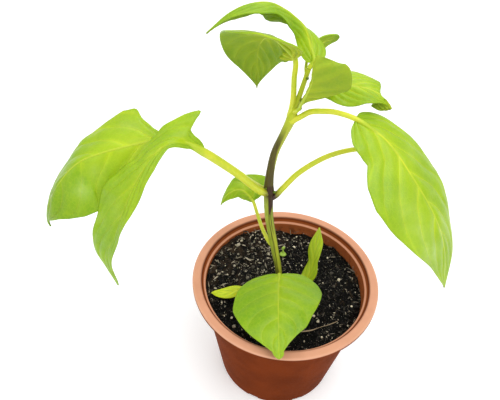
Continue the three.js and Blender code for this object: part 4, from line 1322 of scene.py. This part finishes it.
def write_skin(mesh, leaf, rib, flat, t, width):
    """Writes what the skin's finish reads: where the veins run, and how much painted light, painted shade and
    painted sheen each place gets.
    """
    across = -flat[:, 0]
    reach = np.abs(across)
    corners = np.empty(len(mesh.loops), np.int32)
    mesh.loops.foreach_get("vertex_index", corners)
    centre_x = np.repeat([np.mean([flat[v, 0] for v in p.vertices]) for p in mesh.polygons], 4)
    side_phase = vein_phase(leaf, t, reach)[corners] + np.where(centre_x < 0, 0.0, 0.5)
    drop_maps(mesh)
    write_map(mesh, "blade", (flat[corners, 0] + 1) / 2, t[corners])
    write_map(mesh, "veins", side_phase, (reach * width)[corners])

    painted_sheen = np.zeros(len(flat))
    for place, off, long, wide, strength in leaf.get("painted_sheen", ()):
        painted_sheen += strength * np.exp(-(((t - place) / long) ** 2) - (((across - off) / wide) ** 2))
    write_attribute(mesh, "painted_sheen", painted_sheen)
    write_attribute(mesh, "tone", along(leaf.get("tone", (0, 0)), t))
    write_even(mesh, "vein_spacing", rib.length / leaf["veins"][0])
    write_even(mesh, "midrib_line", leaf["lines"][0])
    write_even(mesh, "vein_line", leaf["lines"][1])


def make_blade(name, leaf, settings, rows, columns):
    """A blade: a flat sheet laid along its midrib, quilted between the veins and given its thickness."""
    rib = HandCurve(leaf["rib"])
    begin()
    bpy.ops.mesh.primitive_grid_add(x_subdivisions=columns, y_subdivisions=rows, size=2, location=(0, 0, 0))
    blade = bpy.context.object
    mesh = blade.data
    flat = positions(mesh)
    share = (flat[:, 1] + 1) / 2
    t = 0.4 * share + 0.6 * (1 - np.cos(math.pi * share)) / 2  # rows lie closer together at both ends
    points, width = quilted_points(leaf, rib, settings.quilting / MM, t, -flat[:, 0])
    move_vertices(mesh, points * MM)
    write_skin(mesh, leaf, rib, flat, t, width)

    for material in ("leaf_upper_side", "leaf_underside", "petiole_skin"):
        mesh.materials.append(bpy.data.materials[material])
    solid = blade.modifiers.new("thickness", "SOLIDIFY")
    solid.thickness = settings.thickness
    solid.offset = -1
    solid.material_offset = 1
    solid.material_offset_rim = 0
    apply_modifiers(blade)
    bpy.ops.object.shade_smooth()
    blade.name = name
    return blade, rib


def make_petiole(name, leaf, rib, thickness):
    """The petiole, running on under the blade as its midrib until it fades out near the tip."""
    at_stem, at_blade = leaf["thick"]
    sunk = thickness / 2 + MIDRIB_SINK * along([at_blade, MIDRIB_RADIUS], UNDER_BLADE / UNDER_BLADE[-1])
    under = rib.at(UNDER_BLADE) - face_at(leaf, rib, UNDER_BLADE) * sunk[:, None]
    path = HandCurve([*leaf["petiole"], *under.tolist()])
    part = HandCurve(leaf["petiole"]).length / path.length
    steps = max(int(path.length / 0.9), 24)
    shares = np.linspace(0, 1, steps)
    radii = np.interp(shares, [0, part, 1], [at_stem, at_blade, MIDRIB_RADIUS])
    radii = radii + 0.25 * at_stem * np.exp(-((shares * path.length / 2.5) ** 2))
    rest = np.linspace(0.37, 0.93, 40)
    tail = rib.at(rest) - face_at(leaf, rib, rest) * (thickness * 0.95)
    points = np.vstack([path.at(shares), tail])
    thinning = np.linspace(MIDRIB_RADIUS, MIDRIB_TIP, len(rest)) * min(1.0, at_blade)
    petiole = tube(name, points, np.concatenate([radii, thinning]), 4)
    mesh = petiole.data
    reach = read_attribute(mesh, "run") * (len(points) - 1) / (steps - 1)
    write_attribute(mesh, "run", np.clip(reach / part, 0, 2) / 2)
    dark = leaf.get("dusk", 0.0) * smoothstep(leaf.get("dusk_end", 0.12), 0.0, reach)
    write_attribute(mesh, "dusk", dark)
    return petiole


class SEEDLING_OT_leaves(bpy.types.Operator):
    """Lays out every leaf along its midrib, with its veins, its petiole and a dull underside"""

    bl_idname = "seedling.leaves"
    bl_label = "Leaves"

    def execute(self, context):
        settings = context.scene.seedling_foliage
        blade_finish("leaf_upper_side", settings, True)
        blade_finish("leaf_underside", settings, False)
        petiole_finish(settings)
        for name, leaf in LEAVES.items():
            length = HandCurve(leaf["rib"]).length
            rows = int(min(max(length * ROWS_PER_MM, 60), 150))
            columns = 2 * int(min(max(max(leaf["half"]) * COLUMNS_PER_MM, 10), 34))
            blade, rib = make_blade(name + "_blade", leaf, settings, rows, columns)
            petiole = make_petiole(name + "_petiole", leaf, rib, settings.thickness / MM)
            skins = petiole.data.materials
            for material in blade.data.materials:
                skins.append(material)
            for polygon in petiole.data.polygons:
                polygon.material_index = skins.find("petiole_skin")
            made = join([blade, petiole])
            finish_piece(made, name + "_skin", [name])
        return {"FINISHED"}


# ---------------------------------------------------------------- buds in the leaf axils
# The foot of each bud, the way it points and its greatest radius.
BUDS = [
    ((-5.5, -1.5, 223), (0.9, -0.6, 1.6), 1.1),
    ((-4.5, 0.5, 227), (0.3, -0.5, 1.0), 0.9),
    ((-2.2, 2.5, 238.5), (-0.8, -1.4, 1.2), 0.8),
    ((-13.6, -1.2, 166), (0.8, -0.5, 1.0), 0.75),
    ((-17.6, -1.8, 169), (-0.5, -0.6, 1.0), 0.6),
]


class SEEDLING_OT_buds(bpy.types.Operator):
    """Sets small dark buds in the axils of the upper leaves"""

    bl_idname = "seedling.buds"
    bl_label = "Axil Buds"

    def execute(self, context):
        settings = context.scene.seedling_foliage
        made = []
        for index, (foot, way, size) in enumerate(BUDS):
            foot, way = np.array(foot, float), unit(np.array(way, float))
            shares = np.linspace(0, 1, 14)
            points = foot + way * (shares * size * 3.2)[:, None]
            points[:, 0] += 0.4 * np.sin(shares * 3)
            radii = size * along([0.55, 0.9, 1.0, 0.8, 0.45, 0.08], shares)
            made.append(tube(f"bud_{index}", points, radii, 3))
        buds = join(made)
        write_even(buds.data, "shade", 0.4)
        finish = litter_finish("bud_scale", (0.1, 0.16, 0.02), tint(settings.upper, 0.6), 0.5)
        finish_piece(buds, "axil_buds", (), [finish])
        return {"FINISHED"}


# ---------------------------------------------------------------- stage
# Each lamp's name, place, size and power. The strongest stands to the right of the plant.
LAMPS = [
    ("key_lamp", (0.4, -0.25, 1.2), 1.3, 9.5),
    ("fill_lamp", (-0.8, -0.4, 1.0), 1.2, 4.5),
    ("back_lamp", (0.1, 0.9, 1.0), 1.2, 4.0),
]
LAMP_AIM = (-0.02, 0, 0.15)  # where all of them shine
VIEW_PLACE = (-0.026, -0.244, 0.396)  # where the camera is
VIEW_PITCH = 44.3  # degrees that it looks down
VIEW_ROLL = 3.5  # degrees that its right side is lifted


def lay_floor(settings):
    """A wide pale floor, just under the pot."""
    begin()
    bpy.ops.mesh.primitive_plane_add(size=12, location=(0, 0, -0.2 * MM))
    floor = bpy.context.object
    floor.name = "stage_floor"
    finish = Finish("pale_floor")
    colour = finish.mix(finish.grain(3, 2, 0.5), settings.floor, tint(settings.floor, 0.985))
    finish.set(Base_Color=colour, Roughness=0.9, Emission_Color=(1, 1, 1), Emission_Strength=0.22)
    floor.data.materials.append(finish.material)


def light_stage(scene, settings):
    """White light all round and three large soft lamps."""
    world = scene.world or bpy.data.worlds.new("studio")
    scene.world = world
    world.use_nodes = True
    background = world.node_tree.nodes["Background"]
    background.inputs["Color"].default_value = (1, 1, 1, 1)
    background.inputs["Strength"].default_value = settings.sky
    for name, place, size, power in LAMPS:
        bpy.ops.object.light_add(type="AREA", location=place)
        lamp = bpy.context.object
        lamp.name = name
        lamp.data.shape = "DISK"
        lamp.data.size = size
        lamp.data.energy = power * settings.light
        aim = Vector(LAMP_AIM) - Vector(place)
        lamp.rotation_mode = "QUATERNION"
        lamp.rotation_quaternion = aim.to_track_quat("-Z", "Y")


def set_camera(scene, settings):
    """Looks down on the plant from the front, leaning over a little."""
    pitch, roll = math.radians(VIEW_PITCH), math.radians(VIEW_ROLL)
    ahead = Vector((0, math.cos(pitch), -math.sin(pitch)))
    level_up = Vector((0, math.sin(pitch), math.cos(pitch)))
    across = Vector((1, 0, 0))
    right = across * math.cos(roll) + level_up * math.sin(roll)
    up = level_up * math.cos(roll) - across * math.sin(roll)
    bpy.ops.object.camera_add(location=VIEW_PLACE)
    camera = bpy.context.object
    camera.name = "viewpoint"
    camera.data.lens = settings.lens
    camera.data.sensor_width = 36
    camera.data.clip_start = 0.01
    camera.rotation_mode = "QUATERNION"
    camera.rotation_quaternion = Matrix((right, up, -ahead)).transposed().to_quaternion()
    scene.camera = camera


class SEEDLING_OT_stage(bpy.types.Operator):
    """Lays the pale floor and sets the lamps and the camera"""

    bl_idname = "seedling.stage"
    bl_label = "Stage"

    def execute(self, context):
        settings = context.scene.seedling_stage
        lay_floor(settings)
        light_stage(context.scene, settings)
        set_camera(context.scene, settings)
        context.scene.view_settings.view_transform = "Standard"
        return {"FINISHED"}


OPERATORS = [
    SEEDLING_OT_stage,
    SEEDLING_OT_pot,
    SEEDLING_OT_soil,
    SEEDLING_OT_litter,
    SEEDLING_OT_stem,
    SEEDLING_OT_leaves,
    SEEDLING_OT_buds,
]


class SEEDLING_PT_panel(bpy.types.Panel):
    """Lists the steps and their settings."""

    bl_label = "Pepper Seedling"
    bl_idname = "SEEDLING_PT_panel"
    bl_space_type = "VIEW_3D"
    bl_region_type = "UI"
    bl_category = "Seedling"

    def draw(self, context):
        for operator in OPERATORS:
            self.layout.operator(operator.bl_idname)
        for group, kind in GROUPS.items():
            box = self.layout.box()
            settings = getattr(context.scene, group)
            for key in kind.__annotations__:
                box.prop(settings, key)


CLASSES = [*GROUPS.values(), *OPERATORS, SEEDLING_PT_panel]


def register():
    for kind in CLASSES:
        bpy.utils.register_class(kind)
    for group, kind in GROUPS.items():
        setattr(bpy.types.Scene, group, PointerProperty(type=kind))


def unregister():
    for group in GROUPS:
        delattr(bpy.types.Scene, group)
    for kind in reversed(CLASSES):
        bpy.utils.unregister_class(kind)


def main():
    register()
    bpy.ops.seedling.stage()
    bpy.ops.seedling.pot()
    bpy.ops.seedling.soil()
    bpy.ops.seedling.litter()
    bpy.ops.seedling.stem()
    bpy.ops.seedling.leaves()
    bpy.ops.seedling.buds()


if __name__ == "__main__":
    main()
